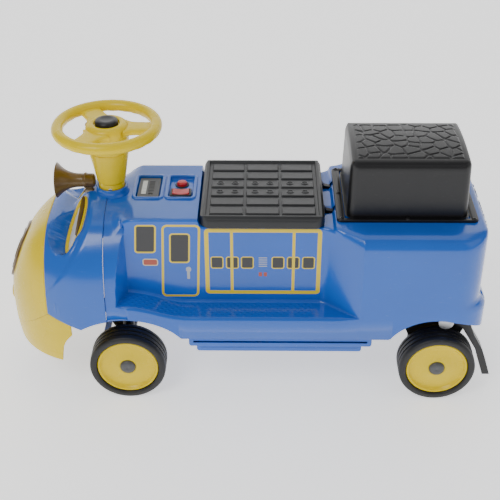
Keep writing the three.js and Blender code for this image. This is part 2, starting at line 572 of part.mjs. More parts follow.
const BEAM_T = 10;
function frontBeam() {
  const x = FRONT_AXLE_X;
  const bar = join(
    block(x - 12, x + 12, -KINGPIN_Y - 4, KINGPIN_Y + 4, BEAM_Z + 1, BEAM_Z + BEAM_T),
    ...[1, -1].map((s) => rod(11, BEAM_Z, TOWER_Z - GAP, 'z', [x, s * KINGPIN_Y, 0], 14)),
    ...[1, -1].map((s) => sidePlate(outline([[x - 10, BEAM_Z], [x + 30, BEAM_Z], [x + 58, TOWER_Z + 22],
      [x + 34, TOWER_Z + 26], [x + 6, BEAM_Z + 20], [x - 10, BEAM_Z + 20]]), s * 68 - 4, s * 68 + 4)),
  );
  const bores = [1, -1].map((s) => rod(KINGPIN_R + GAP, 0, BEAM_Z + 30, 'z', [x, s * KINGPIN_Y, 0], 12));
  const room = join(arch(FRONT_ARCH, -GAP), block(x - 60, x + 60, -200, 200, BEAM_Z - 10, BEAM_Z + 10));
  return cut(common(bar, room), ...bores);
}
add('front_axle_beam', frontBeam(), BLACK);
addPair('kingpin', join(rod(KINGPIN_R, KNUCKLE_Z[0] - 6, BEAM_Z + 29, 'z', [FRONT_AXLE_X, KINGPIN_Y, 0], 12),
  rod(9, KNUCKLE_Z[0] - 6, KNUCKLE_Z[0] - RUN, 'z', [FRONT_AXLE_X, KINGPIN_Y, 0], 12)), STEEL);

// ---------------------------------------------------------------- wheels
const TYRE_SIDES = 24;
// Tyre section, turned about the axle, with a step that holds the disc.
function tyre(axleX) {
  const half = TYRE_W / 2;
  return turned([[DISC_R - 12, -half], [TYRE_R - 6, -half], [TYRE_R, 5 - half], [TYRE_R, half - 5],
    [TYRE_R - 6, half], [DISC_R + GAP, half], [DISC_R + GAP, half - 10], [DISC_R - 12, half - 10],
    [DISC_R - 12, -half]], 'y', [axleX, WHEEL_Y, TYRE_R], TYRE_SIDES);
}

function disc(axleX, bore) {
  const half = TYRE_W / 2;
  return turned([[bore, -half], [16, -half], [16, half - 10 + GAP], [DISC_R, half - 10 + GAP],
    [DISC_R, half - 2], [HUB_CAP_R + GAP, half - 2], [HUB_CAP_R + GAP, half - 8], [bore, half - 8],
    [bore, -half]], 'y', [axleX, WHEEL_Y, TYRE_R], TYRE_SIDES);
}

function hubCap(axleX) {
  const half = TYRE_W / 2;
  return turned([[0, half - 7.6], [HUB_CAP_R, half - 7.6], [HUB_CAP_R, half - 1], [0, half]],
    'y', [axleX, WHEEL_Y, TYRE_R], 16);
}

for (const [end, x, bore] of [['front', FRONT_AXLE_X, AXLE_R + RUN], ['rear', REAR_AXLE_X, AXLE_R + GAP]]) {
  addPair(`${end}_tyre`, tyre(x), RUBBER);
  addPair(`${end}_disc`, disc(x, bore), YELLOW);
  addPair(`${end}_hub_cap`, hubCap(x), GREY);
}

// ---------------------------------------------------------------- trumpet horn
const HORN = { mouthX: SEAM_X + 92, mouthR: 32, neckX: SEAM_X + 47, neckR: 12.5, backX: COLUMN_X + CONE_LOW_R + 4, z: 387 };
function trumpet() {
  const { mouthX, mouthR, neckX, neckR, backX, z } = HORN;
  const steps = 4;
  const bell = (inset) => Array.from({ length: steps + 1 }, (_, i) => {
    const along = i / steps;
    return [neckR - inset + (mouthR - neckR) * along ** 2.6, neckX + (mouthX - neckX) * along];
  });
  const outside = bell(0);
  const inside = bell(2).reverse().filter(([, x]) => x > neckX);
  const body = turned([[0, backX], [neckR, backX], ...outside, ...inside, [0, neckX + 4]],
    'x', [0, 0, z], 16);
  const foot = block(backX + 3, backX + 21, -8, 8, COLLAR_Z + GAP, z - 5);
  return join(body, foot);
}
add('trumpet_horn', trumpet(), BRONZE);

// ---------------------------------------------------------------- dash
const pocketZ = (p) => DASH_Z - p.pocket + GAP;
const inPocket = (p, grow, z0, z1) => planPlate(roundedRect(p.x - p.size[0] / 2 - grow,
  p.x + p.size[0] / 2 + grow, p.y - p.size[1] / 2 - grow, p.y + p.size[1] / 2 + grow, 4), z0, z1, 3);
add('sound_panel', inPocket(SOUND, -3, pocketZ(SOUND), pocketZ(SOUND) + SOUND.t), GREY);

const ROCKER = { y: SWITCHES.y + 19, size: [30, 18], tilt: 10, rise: 4 };
function switchBezel() {
  const { y, size } = ROCKER;
  const [w, d] = size;
  const z0 = pocketZ(SWITCHES);
  const bezel = (grow, low, high) =>
    block(SWITCHES.x - w / 2 - grow, SWITCHES.x + w / 2 + grow, y - d / 2 - grow, y + d / 2 + grow, low, high);
  return cut(bezel(4, z0, z0 + SWITCHES.t + 2), bezel(RUN, z0 + 1.5, z0 + 20),
    rod(1.5 + GAP, y - d / 2 - 3, y + d / 2 + 3, 'y', [SWITCHES.x, 0, z0 + 4], 10));
}
add('switch_bezel', switchBezel(), BLACK);
function rocker() {
  const { y, size, rise } = ROCKER;
  const [w, d] = size;
  const z0 = pocketZ(SWITCHES);
  const body = sidePlate(outline([[-w / 2, 4.4], [-6, 2.6], [6, 2.6], [w / 2, 4.4], [w / 2, rise + 3.5],
    [0, rise + 1.5], [-w / 2, rise + 3.5]].map(([x, z]) => [SWITCHES.x + x, z0 + z])), y - d / 2, y + d / 2);
  return join(body, rod(1.5, y - d / 2 - 2.5, y + d / 2 + 2.5, 'y', [SWITCHES.x, 0, z0 + 4], 10));
}
add('rocker_switch', rocker(), RED);
const pushLow = DASH_Z - SWITCHES.pocket - PUSH.recess + GAP + PUSH.travel;
add('push_button', turned([[0, pushLow], [PUSH.r, pushLow], [PUSH.r, pushLow + PUSH.rise - 1.5],
  [PUSH.r - 2, pushLow + PUSH.rise], [0, pushLow + PUSH.rise + 0.6]], 'z', [SWITCHES.x, PUSH.y, 0], 18), RED);
const SPEAKER_R = 26;
const padLow = DASH_Z - PAD_T - GAP;
add('speaker', cut(turned([[0, padLow - 16], [12, padLow - 16], [12, padLow - 10], [SPEAKER_R, padLow - 3],
  [SPEAKER_R, padLow], [SPEAKER_R - 2, padLow], [10, padLow - 8], [0, padLow - 8]], 'z',
  [SOUND.x, SOUND.y, 0], 16)), BLACK);

// ---------------------------------------------------------------- seat lid, its pin and the bin
const RIM_LOW = SEAT.z - SEAT.t;
function seatLid() {
  const { x0, x1, y, z } = SEAT;
  const top = planPlate(roundedRect(x0, x1, -y, y, 16), RIM_LOW, z, 4);
  const hollow = planPlate(roundedRect(x0 + 4, x1 - 4, -y + 4, y - 4, 12), RIM_LOW - 1, z - 5, 4);
  const arms = [1, -1].map((s) => sidePlate(outline([[HINGE.x - 6, HINGE.z - 6], [HINGE.x + 6, HINGE.z - 6],
    [HINGE.x + 9, HINGE.z + 8], [x0 + 8, RIM_LOW + 2], [x0 + 8, z - 4], [x0 + 2, z - 4],
    [HINGE.x + 6, HINGE.z + 9], [HINGE.x - 6, HINGE.z + 6]]),
  s * HINGE.y - HINGE.arm / 2, s * HINGE.y + HINGE.arm / 2));
  const swingRoom = block(x0 - 1, x0 + 8, -y - 1, y + 1, RIM_LOW - 1, TENDER_Z + RUN);
  return cut(join(cut(top, hollow, swingRoom), ...arms),
    rod(HINGE.r + GAP, -200, 200, 'y', [HINGE.x, 0, HINGE.z], 14));
}
add('seat_lid', seatLid(), BLACK);
add('seat_hinge_pin', rod(HINGE.r, -HINGE_BAY.y + GAP, HINGE_BAY.y - GAP, 'y', [HINGE.x, 0, HINGE.z], 14), STEEL);

function storageBin() {
  const { x0, x1, y, depth, t, lip } = BIN;
  const z1 = DECK_Z + GAP;
  const shell = join(block(x0, x1, -y, y, DECK_Z - depth, z1 + t),
    block(x0 - lip, x1 + lip, -y - lip, y + lip, z1, z1 + t));
  return cut(shell, block(x0 + t, x1 - t, -y + t, y - t, DECK_Z - depth + t, z1 + t + 1));
}
add('storage_bin', storageBin(), BLACK);

// ---------------------------------------------------------------- tender box and its screws
// A block that tapers from a base to a top, each given as half-lengths.
function tapered(x, base, top, z0, z1) {
  const geometry = new THREE.BoxGeometry(2, 2, 1).translate(0, 0, 0.5);
  const at = geometry.attributes.position;
  for (let i = 0; i < at.count; i += 1) {
    const up = at.getZ(i);
    at.setXYZ(i, x + at.getX(i) * THREE.MathUtils.lerp(base[0], top[0], up),
      at.getY(i) * THREE.MathUtils.lerp(base[1], top[1], up), THREE.MathUtils.lerp(z0, z1, up));
  }
  return toSolid(geometry);
}

const FLANGE_Z = TENDER_Z + GAP;
// The top is crowned across: an arc through its two long edges and its middle.
function crowned(t) {
  const half = BOX.base[1];
  const radius = (half * half + BOX.crown * BOX.crown) / (2 * BOX.crown);
  return rod(radius - t, -200, 200, 'x', [BOX.x, 0, BOX.z + BOX.crown - radius], 72);
}
function tenderBox() {
  const w = BOX.wall;
  const top = BOX.z + BOX.crown;
  const outside = common(tapered(BOX.x, BOX.base, BOX.top, FLANGE_Z, top), crowned(0));
  const inside = common(tapered(BOX.x, BOX.base.map((v) => v - w), BOX.top.map((v) => v - w),
    FLANGE_Z - 1, top), crowned(w));
  const [fx, fy] = FLANGE.half;
  const flange = planPlate(roundedRect(BOX.x - fx, BOX.x + fx, -fy, fy, 8), FLANGE_Z, FLANGE_Z + FLANGE.t, 3);
  const holes = screwSpots().map(([x, y]) => rod(2 + GAP, 0, 400, 'z', [x, y, 0], 8));
  return cut(join(outside, flange), inside, ...holes);
}
function screwSpots() {
  const dx = FLANGE.half[0] - 8;
  const dy = FLANGE.half[1] - 5;
  return [[-1, -1], [-1, 1], [1, 1], [1, -1]].map(([i, j]) => [BOX.x + i * dx, j * dy]);
}
add('tender_box', tenderBox(), BLACK);
screwSpots().forEach(([x, y], i) => {
  const seat = FLANGE_Z + FLANGE.t + GAP;
  add(`flange_screw_${i + 1}`, turned([[0, FLANGE_Z + 0.5], [2, FLANGE_Z + 0.5], [2, seat], [SCREW_R, seat],
    [SCREW_R, seat + 1.4], [SCREW_R - 2, seat + 2.6], [0, seat + 2.6]], 'z', [x, y, 0], 8), BLACK);
});

// ---------------------------------------------------------------- rear frame and drive
const insideRearArch = () => join(arch(REAR_ARCH, -GAP), block(-600, 600, -200, 200, 0, SKIRT_Z - GAP));
const fromRearAxle = (points) => outline(points.map(([x, z]) => [REAR_AXLE_X + x, z]));

function rearFrame() {
  const plate = fromRearAxle([[-26, 54], [26, 54], [64, 140], [64, 190], [-58, 190], [-58, 140]]);
  const leg = fromRearAxle([[-30, 190], [-52, 166], [-70, 122], [-88, 90], [-97, 66], [-109, 29], [-95, 29],
    [-84, 62], [-75, 90], [-45, 141], [-30, 150]]);
  const sides = [1, -1].map((s) => {
    const middle = s * (PLATE_Y[0] + PLATE_Y[1]) / 2;
    const thick = PLATE_Y[1] - PLATE_Y[0];
    return join(sidePlate(plate, middle - thick / 2, middle + thick / 2),
      sidePlate(leg, Math.min(s * 90, s * 112), Math.max(s * 90, s * 112)));
  });
  const bars = [[46, 60], [-60, -46]].map(([x0, x1]) =>
    block(REAR_AXLE_X + x0, REAR_AXLE_X + x1, -PLATE_Y[0] - 1, PLATE_Y[0] + 1, 140, 152));
  return cut(common(join(...sides, ...bars), insideRearArch()),
    rod(AXLE_R + RUN, -200, 200, 'y', [REAR_AXLE_X, 0, TYRE_R], 14),
    rod(MOTOR.r + GAP, 0, 200, 'y', [MOTOR.x, 0, MOTOR.z], 18));
}
add('rear_frame', rearFrame(), BLACK);
add('rear_axle', rod(AXLE_R, -TRACK_OUTER_Y + 8.6, TRACK_OUTER_Y - 8.6, 'y', [REAR_AXLE_X, 0, TYRE_R], 14), STEEL);

// The idler sits where both gear pairs meet at their pitch circles.
function idlerCentre() {
  const a = AXLE_GEAR_R + IDLER_SMALL_R;
  const b = IDLER_BIG_R + PINION_R;
  const dx = MOTOR.x - REAR_AXLE_X;
  const dz = MOTOR.z - TYRE_R;
  const span = Math.hypot(dx, dz);
  const along = (a * a - b * b + span * span) / (2 * span);
  const off = Math.sqrt(Math.max(0, a * a - along * along));
  return [REAR_AXLE_X + (dx * along + dz * off) / span, TYRE_R + (dz * along - dx * off) / span];
}
const [IDLER_X, IDLER_Z] = idlerCentre();
const LAYER = { first: [57, 64], second: [68, 75] };
const gear = (radius, layer, x, z) => rod(radius - 0.3, layer[0], layer[1], 'y', [x, 0, z], 20);
const alongY = (radius, y0, y1, x, z) => rod(radius, y0, y1, 'y', [x, 0, z], 10);
add('axle_gear', cut(gear(AXLE_GEAR_R, LAYER.first, REAR_AXLE_X, TYRE_R),
  rod(AXLE_R + GAP, 0, 200, 'y', [REAR_AXLE_X, 0, TYRE_R], 14)), WHITE);
add('idler_gear', cut(join(gear(IDLER_SMALL_R, [LAYER.first[0], LAYER.second[0] + 1], IDLER_X, IDLER_Z),
  gear(IDLER_BIG_R, LAYER.second, IDLER_X, IDLER_Z)), alongY(2.5 + GAP, 0, 200, IDLER_X, IDLER_Z)), WHITE);
add('motor_pinion', join(gear(PINION_R, LAYER.second, MOTOR.x, MOTOR.z),
  alongY(1.6, LAYER.second[1] - 1, GEARBOX.y[1] + 6, MOTOR.x, MOTOR.z)), STEEL);
add('motor', cut(rod(MOTOR.r, GEARBOX.y[1] + GAP, GEARBOX.y[1] + GAP + MOTOR.length, 'y',
  [MOTOR.x, 0, MOTOR.z], 18), alongY(1.6 + GAP, 0, GEARBOX.y[1] + 7, MOTOR.x, MOTOR.z)), STEEL);

function gearbox() {
  const [y0, y1] = GEARBOX.y;
  const half = AXLE_GEAR_R + 6;
  const shape = (t) => fromRearAxle([[-half + t, TYRE_R - half + t], [half - t, TYRE_R - half + t],
    [half - t, 190], [-half + t, 190]]);
  const outer = common(sidePlate(shape(0), y0, y1), arch(REAR_ARCH, -GAP));
  const w = GEARBOX.wall;
  const inner = common(sidePlate(shape(w), y0 + w, y1 - w), arch(REAR_ARCH, -GAP - w));
  return join(cut(outer, inner, rod(AXLE_R + RUN, 0, 200, 'y', [REAR_AXLE_X, 0, TYRE_R], 14),
    alongY(1.6 + RUN, 70, 200, MOTOR.x, MOTOR.z)), alongY(2.5, y0 + 1, y1 - 1, IDLER_X, IDLER_Z));
}
add('gearbox_housing', gearbox(), BLACK);

const ROOF_Z = ARCH_Z + REAR_ARCH.b + WALL; // top of the wall over the rear arch
function batteryTray() {
  const [l, w] = BATTERY.size;
  const around = (grow, z0, z1) => block(BATTERY.x - l / 2 - grow, BATTERY.x + l / 2 + grow,
    -w / 2 - grow, w / 2 + grow, z0, z1);
  return cut(around(GAP + 3, ROOF_Z + GAP, ROOF_Z + 16), around(GAP, ROOF_Z + 3, ROOF_Z + 20));
}
add('battery_tray', batteryTray(), BLACK);
function battery() {
  const [l, w, h] = BATTERY.size;
  const z0 = ROOF_Z + 3 + GAP;
  const tabs = [1, -1].map((s) => block(BATTERY.x + 20, BATTERY.x + 30, s * 22 - 3, s * 22 + 3, z0 + h - 1, z0 + h + 8));
  return join(block(BATTERY.x - l / 2, BATTERY.x + l / 2, -w / 2, w / 2, z0, z0 + h), ...tabs);
}
add('battery', battery(), GREY);

export default group;
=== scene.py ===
import math

import bmesh
import bpy
import numpy as np
from mathutils import Matrix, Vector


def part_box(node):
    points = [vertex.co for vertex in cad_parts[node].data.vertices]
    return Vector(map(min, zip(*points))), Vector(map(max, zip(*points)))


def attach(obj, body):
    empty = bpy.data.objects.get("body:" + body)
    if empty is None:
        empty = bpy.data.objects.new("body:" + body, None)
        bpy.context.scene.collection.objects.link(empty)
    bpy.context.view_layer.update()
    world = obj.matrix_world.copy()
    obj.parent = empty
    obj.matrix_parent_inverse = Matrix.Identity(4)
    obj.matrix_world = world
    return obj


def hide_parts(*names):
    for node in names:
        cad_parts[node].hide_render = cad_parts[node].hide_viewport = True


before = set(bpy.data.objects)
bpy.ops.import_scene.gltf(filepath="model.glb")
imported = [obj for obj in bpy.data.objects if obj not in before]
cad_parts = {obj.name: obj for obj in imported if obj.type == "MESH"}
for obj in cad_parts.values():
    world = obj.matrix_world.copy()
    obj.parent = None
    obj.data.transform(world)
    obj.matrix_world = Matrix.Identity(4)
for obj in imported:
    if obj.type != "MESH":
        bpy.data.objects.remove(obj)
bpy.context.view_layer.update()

bl_info = {
    "name": "Ride-on train",
    "version": (1, 0, 0),
    "blender": (4, 5, 0),
    "location": "View3D > Sidebar > Train",
    "description": "Builds the outer surfaces and finishes of a moulded-plastic ride-on train",
    "category": "Object",
}

MM = 0.001  # shapes are worked out in millimetres and stored in metres


def span(node):
    """Lowest and highest corner of a frame node, in millimetres."""
    low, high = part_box(node)
    return np.array(low) / MM, np.array(high) / MM


# ------------------------------------------------------------------ sizes read from the frame
BODY_LOW, BODY_HIGH = span("main_body_shell")
NOSE_LOW, NOSE_HIGH = span("nose_shell")
SEAT_LOW, SEAT_HIGH = span("seat_lid")
BOX_LOW, BOX_HIGH = span("tender_box")
RIM_LOW, RIM_HIGH = span("steering_wheel")
HORN_LOW, HORN_HIGH = span("trumpet_horn")
FRONT_TYRE = span("front_tyre_left")
REAR_TYRE = span("rear_tyre_left")

REAR_X = BODY_LOW[0]
SEAM_X = (BODY_HIGH[0] + NOSE_LOW[0]) / 2
MASK_X = NOSE_HIGH[0]
SIDE_Y = BODY_HIGH[1]
FRONT_X = (FRONT_TYRE[0][0] + FRONT_TYRE[1][0]) / 2
REAR_AXLE_X = (REAR_TYRE[0][0] + REAR_TYRE[1][0]) / 2
WHEEL_R = REAR_TYRE[1][2] / 2
COWL_Z = BODY_HIGH[2]
TENDER_Z = BOX_LOW[2] - 0.4
COLUMN_X = (span("column_collar")[0][0] + span("column_collar")[1][0]) / 2
DECK_Z = span("storage_bin")[1][2] - 2.9

# Forms that the frame's boxes don't give. SIZE holds those set in the sidebar, in millimetres.
SIZE = {}
DASH_X = 84.0
ARCH_Z = 100.0
FRONT_ARCH = (FRONT_X - 1, 118.0, 84.0)
REAR_ARCH = (REAR_AXLE_X + 9, 97.0, 86.0)
BULB = {"x": SEAM_X + 35, "z": 145.0, "a": 161.0, "b": SIDE_Y, "c": 209.0, "n": 2.8}
SCREEN_TOP_X = SEAM_X + 39
SCREEN_N = np.array([0.771, 0.227, 0.595]) / np.linalg.norm([0.771, 0.227, 0.595])


# ------------------------------------------------------------------ numpy surfaces
def smooth_step(low, high, x):
    """0 below low, 1 above high, and an S-curve of the cubic 3t^2 - 2t^3 between."""
    t = np.clip((x - low) / (high - low), 0, 1)
    return t * t * (3 - 2 * t)


def soft_min(a, b, k):
    """The lower of two values, with the crossing rounded over a width k."""
    h = np.clip(0.5 + 0.5 * (b - a) / k, 0, 1)
    return b + (a - b) * h - k * h * (1 - h)


def soft_max(a, b, k):
    """The higher of two values, with the crossing rounded over a width k."""
    return -soft_min(-a, -b, k)


def grid_faces(rows, columns, wrap_rows=False, wrap_columns=False, flip=False, start=0):
    """Quads that join each point of a grid to the next in its row and the next row."""
    i = np.arange(rows if wrap_rows else rows - 1)
    j = np.arange(columns if wrap_columns else columns - 1)
    i, j = np.meshgrid(i, j, indexing="ij")
    a = i * columns + j
    b = i * columns + (j + 1) % columns
    c = ((i + 1) % rows) * columns + (j + 1) % columns
    d = ((i + 1) % rows) * columns + j
    quads = np.stack([a, d, c, b] if flip else [a, b, c, d], axis=-1).reshape(-1, 4)
    return quads + start


class Shape:
    """Points and quads gathered from one or more grids, ready to become one mesh."""

    def __init__(self):
        self.points = []
        self.quads = []
        self.count = 0

    def add(self, grid, wrap_rows=False, wrap_columns=False, flip=False, keep=None):
        """Adds a grid of points (rows, columns, 3). keep(centres) says which quads stay."""
        grid = np.asarray(grid, dtype=float)
        rows, columns = grid.shape[:2]
        quads = grid_faces(rows, columns, wrap_rows, wrap_columns, flip)
        flat = grid.reshape(-1, 3)
        if keep is not None:
            quads = quads[keep(flat[quads].mean(axis=1))]
        self.points.append(flat)
        self.quads.append(quads + self.count)
        self.count += len(flat)
        return self

    def make(self, name, body, look, replaces=(), slot=None, thickness=0, weld=0.02,
             recalc=False, smooth_angle=40):
        """Makes the mesh, welds its seams, gives it its wall and finish, and rides it on a body.

        Its slot has its look's name unless another is given.
        """
        points = np.concatenate(self.points) * MM
        quads = np.concatenate(self.quads)
        mesh = bpy.data.meshes.new(name)
        mesh.vertices.add(len(points))
        mesh.vertices.foreach_set("co", points.ravel())
        mesh.loops.add(quads.size)
        mesh.loops.foreach_set("vertex_index", quads.ravel().astype(np.int32))
        mesh.polygons.add(len(quads))
        mesh.polygons.foreach_set("loop_start", np.arange(0, quads.size, 4, dtype=np.int32))
        mesh.update(calc_edges=True)
        work = bmesh.new()
        work.from_mesh(mesh)
        bmesh.ops.remove_doubles(work, verts=work.verts, dist=weld * MM)
        bmesh.ops.dissolve_degenerate(work, edges=work.edges, dist=0.001 * MM)
        loose = [v for v in work.verts if not v.link_faces]
        bmesh.ops.delete(work, geom=loose, context="VERTS")
        if recalc:
            bmesh.ops.recalc_face_normals(work, faces=work.faces)
        work.to_mesh(mesh)
        work.free()
        mesh.shade_smooth()
        mesh.set_sharp_from_angle(angle=math.radians(smooth_angle))
        mesh.materials.append(LOOKS[look])
        piece = bpy.data.objects.new(name, mesh)
        bpy.context.scene.collection.objects.link(piece)
        if thickness:
            wall = piece.modifiers.new("wall", "SOLIDIFY")
            wall.thickness = thickness * MM
            wall.offset = -1
            wall.use_even_offset = False
        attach(piece, body)
        if replaces:
            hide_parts(*replaces)
        return piece


def rounded(corners, radii, steps=5):
    """A polyline whose corners are turned by quadratic arcs. corners has shape (..., K, 2) and
    radii (..., K). Each inner corner gives `steps` points and no arc takes more than 0.49
    of a side."""
    corners = np.asarray(corners, dtype=float)
    radii = np.broadcast_to(np.asarray(radii, dtype=float), corners.shape[:-1])
    before = corners[..., :-2, :] - corners[..., 1:-1, :]
    after = corners[..., 2:, :] - corners[..., 1:-1, :]
    long_before = np.linalg.norm(before, axis=-1, keepdims=True)
    long_after = np.linalg.norm(after, axis=-1, keepdims=True)
    reach = np.minimum(radii[..., 1:-1, None], 0.49 * np.minimum(long_before, long_after))
    middle = corners[..., 1:-1, :]
    start = middle + before / np.maximum(long_before, 1e-9) * reach
    end = middle + after / np.maximum(long_after, 1e-9) * reach
    t = np.linspace(0, 1, steps)[:, None]
    arcs = (start[..., None, :] * (1 - t) ** 2 + 2 * middle[..., None, :] * t * (1 - t)
            + end[..., None, :] * t ** 2)
    arcs = arcs.reshape(*corners.shape[:-2], -1, 2)
    return np.concatenate([corners[..., :1, :], arcs, corners[..., -1:, :]], axis=-2)


def densify(line, pitch):
    """Points along a polyline at about one pitch, always keeping its own points."""
    line = np.asarray(line, dtype=float)
    out = [line[:1]]
    for a, b in zip(line[:-1], line[1:]):
        count = max(1, int(np.ceil(np.linalg.norm(b - a) / pitch)))
        out.append(a + (b - a) * (np.arange(1, count + 1) / count)[:, None])
    return np.concatenate(out)


def lathe(profile, axis, centre, sides=64):
    """A profile of (radius, height) points carried round an axis through centre."""
    profile = np.asarray(profile, dtype=float)
    angle = np.linspace(0, 2 * np.pi, sides, endpoint=False)
    r = profile[:, 0][:, None]
    h = np.broadcast_to(profile[:, 1][:, None], (len(profile), sides))
    a, b = r * np.cos(angle), r * np.sin(angle)
    order = {"z": (a, b, h), "y": (b, h, a), "x": (h, a, b)}[axis]
    return np.stack(order, axis=-1) + np.asarray(centre, dtype=float)


def superellipse_radius(angle, b, c, n):
    """Distance from the centre to |y/b|^n + |z/c|^n = 1 in the direction of an angle."""
    y = np.abs(np.cos(angle) / b) ** n
    z = np.abs(np.sin(angle) / c) ** n
    return (y + z) ** (-1 / n)


def bulb_radius(x, angle):
    """Distance from the nose's axis to its swollen surface, which stays just open at the tip."""
    ahead = (np.minimum(x, BULB["x"] + BULB["a"] - 0.01) - BULB["x"]) / BULB["a"]
    swell = np.sqrt(1 - np.clip(ahead, 0, 1) ** 2)
    return superellipse_radius(angle, BULB["b"], BULB["c"], BULB["n"]) * swell


def arch_height(x, arch):
    """Height of a wheel arch's elliptical edge over x, and a low value outside it."""
    centre, a, b = arch
    inside = np.clip(1 - ((x - centre) / a) ** 2, 0, 1)
    return ARCH_Z + b * np.sqrt(inside)


# ------------------------------------------------------------------ finishes
class Signal:
    """A shader socket that takes part in Python arithmetic; each operator adds a Math node."""

    def __init__(self, shader, socket):
        self.shader = shader
        self.socket = socket

    def math(self, operation, *others, first=None):
        inputs = [self if first is None else first, *others]
        return self.shader.node("ShaderNodeMath", {"operation": operation}, inputs)

    def __add__(self, other):
        return self.math("ADD", other)

    def __sub__(self, other):
        return self.math("SUBTRACT", other)

    def __mul__(self, other):
        return self.math("MULTIPLY", other)

    def __truediv__(self, other):
        return self.math("DIVIDE", other)

    def __rsub__(self, other):
        return self.math("SUBTRACT", self, first=other)

    __radd__ = __add__
    __rmul__ = __mul__

    def step(self, low, high):
        """0 below low, 1 above high, smooth between."""
        return self.shader.node("ShaderNodeMapRange", {"interpolation_type": "SMOOTHSTEP"},
                                {"Value": self, "From Min": low, "From Max": high}, "Result")


class Finish:
    """One procedural material, built from expressions on its signals."""

    def __init__(self, name):
        self.material = bpy.data.materials.new(name)
        self.material.use_nodes = True
        self.tree = self.material.node_tree
        self.surface = self.tree.nodes["Principled BSDF"]
        self.place = self.node("ShaderNodeTexCoord", {}, [], "Object")

    def node(self, kind, settings, inputs, output=0):
        """Adds any node: its settings first, then each input's value or link."""
        node = self.tree.nodes.new(kind)
        for key, value in settings.items():
            setattr(node, key, value)
        pairs = inputs.items() if isinstance(inputs, dict) else enumerate(inputs)
        for key, value in pairs:
            self.feed(node.inputs[key], value)
        return Signal(self, node.outputs[output])

    def feed(self, socket, value):
        if isinstance(value, Signal):
            self.tree.links.new(value.socket, socket)
        else:
            socket.default_value = value

    def axes(self):
        """The three Object coordinates, in millimetres."""
        split = self.node("ShaderNodeSeparateXYZ", {}, [self.place]).socket.node
        return [Signal(self, split.outputs[axis]) / MM for axis in "XYZ"]

    def noise(self, scale, detail=2.0, roughness=0.5, stretch=(1, 1, 1)):
        place = self.node("ShaderNodeMapping", {}, {"Vector": self.place, "Scale": stretch})
        return self.node("ShaderNodeTexNoise", {}, {"Vector": place, "Scale": scale,
                         "Detail": detail, "Roughness": roughness}, "Fac")

    def mix(self, factor, a, b):
        """Colour a where factor is 0 and b where it is 1."""
        mixer = self.tree.nodes.new("ShaderNodeMix")
        mixer.data_type = "RGBA"
        self.feed(mixer.inputs["Factor"], factor)
        colours = [s for s in mixer.inputs if s.type == "RGBA"]
        for socket, value in zip(colours, (a, b)):
            self.feed(socket, value)
        return Signal(self, next(s for s in mixer.outputs if s.type == "RGBA"))

    def bump(self, height, strength, distance):
        return self.node("ShaderNodeBump", {}, {"Height": height, "Strength": strength,
                         "Distance": distance * MM}, "Normal")

    def set(self, **values):
        """Feeds the surface's sockets: name_with_underscores=value or signal."""
        for key, value in values.items():
            self.feed(self.surface.inputs[key.replace("_", " ")], value)
        return self.material


def shade(colour, factor):
    """A colour made lighter or darker."""
    return tuple(min(1.0, c * factor) for c in colour[:3]) + (1.0,)


def moulded(name, colour, roughness, grain=0.0, grain_size=0.6, ripple=0.15, scuff=0.25, coat=0.0,
            specular=0.5):
    """Injection-moulded plastic: faint flow shading, slow ripple, fine grain, and dull scuffs."""
    f = Finish(name)
    flow = f.noise(5.0, 3.0, 0.55, (1, 1, 1.8))
    broad = f.noise(14.0, 2.0)
    fine = f.noise(1000.0 / grain_size, 2.0, 0.6)
    scratch = f.noise(90.0, 4.0, 0.7, (1, 6, 3)).step(0.60, 0.74)
    dust = f.noise(38.0, 5.0, 0.75).step(0.56, 0.80)
    base = f.mix(flow.step(0.3, 0.7), shade(colour, 0.955), shade(colour, 1.045))
    base = f.mix(scratch * (0.10 * scuff), base, shade(tuple(c * 0.6 + 0.35 for c in colour[:3]),
                                                       1.0))
    rough = roughness + (broad - 0.5) * 0.06 + scratch * (0.22 * scuff) + dust * (0.12 * scuff)
    height = fine * (0.012 + grain) + broad * (ripple * 0.6) - scratch * (0.02 * scuff)
    f.feed(f.surface.inputs["Coat Roughness"], 0.08)
    f.feed(f.surface.inputs["Specular IOR Level"], specular)
    return f.set(Base_Color=base, Roughness=rough, Coat_Weight=coat,
                 Normal=f.bump(height, 0.6, 1.0))


def metal(name, colour, roughness):
    """Zinc-plated steel: brushed streaks, mottled plating and slight tarnish."""
    f = Finish(name)
    streak = f.noise(240.0, 3.0, 0.6, (1, 14, 14))
    mottle = f.noise(60.0, 4.0, 0.6)
    tarnish = mottle.step(0.55, 0.8)
    base = f.mix(tarnish * 0.5, (*colour, 1), shade(colour, 0.6))
    rough = roughness + (streak - 0.5) * 0.18 + tarnish * 0.2
    return f.set(Base_Color=base, Metallic=1.0, Roughness=rough, Normal=f.bump(streak, 0.25, 0.05))


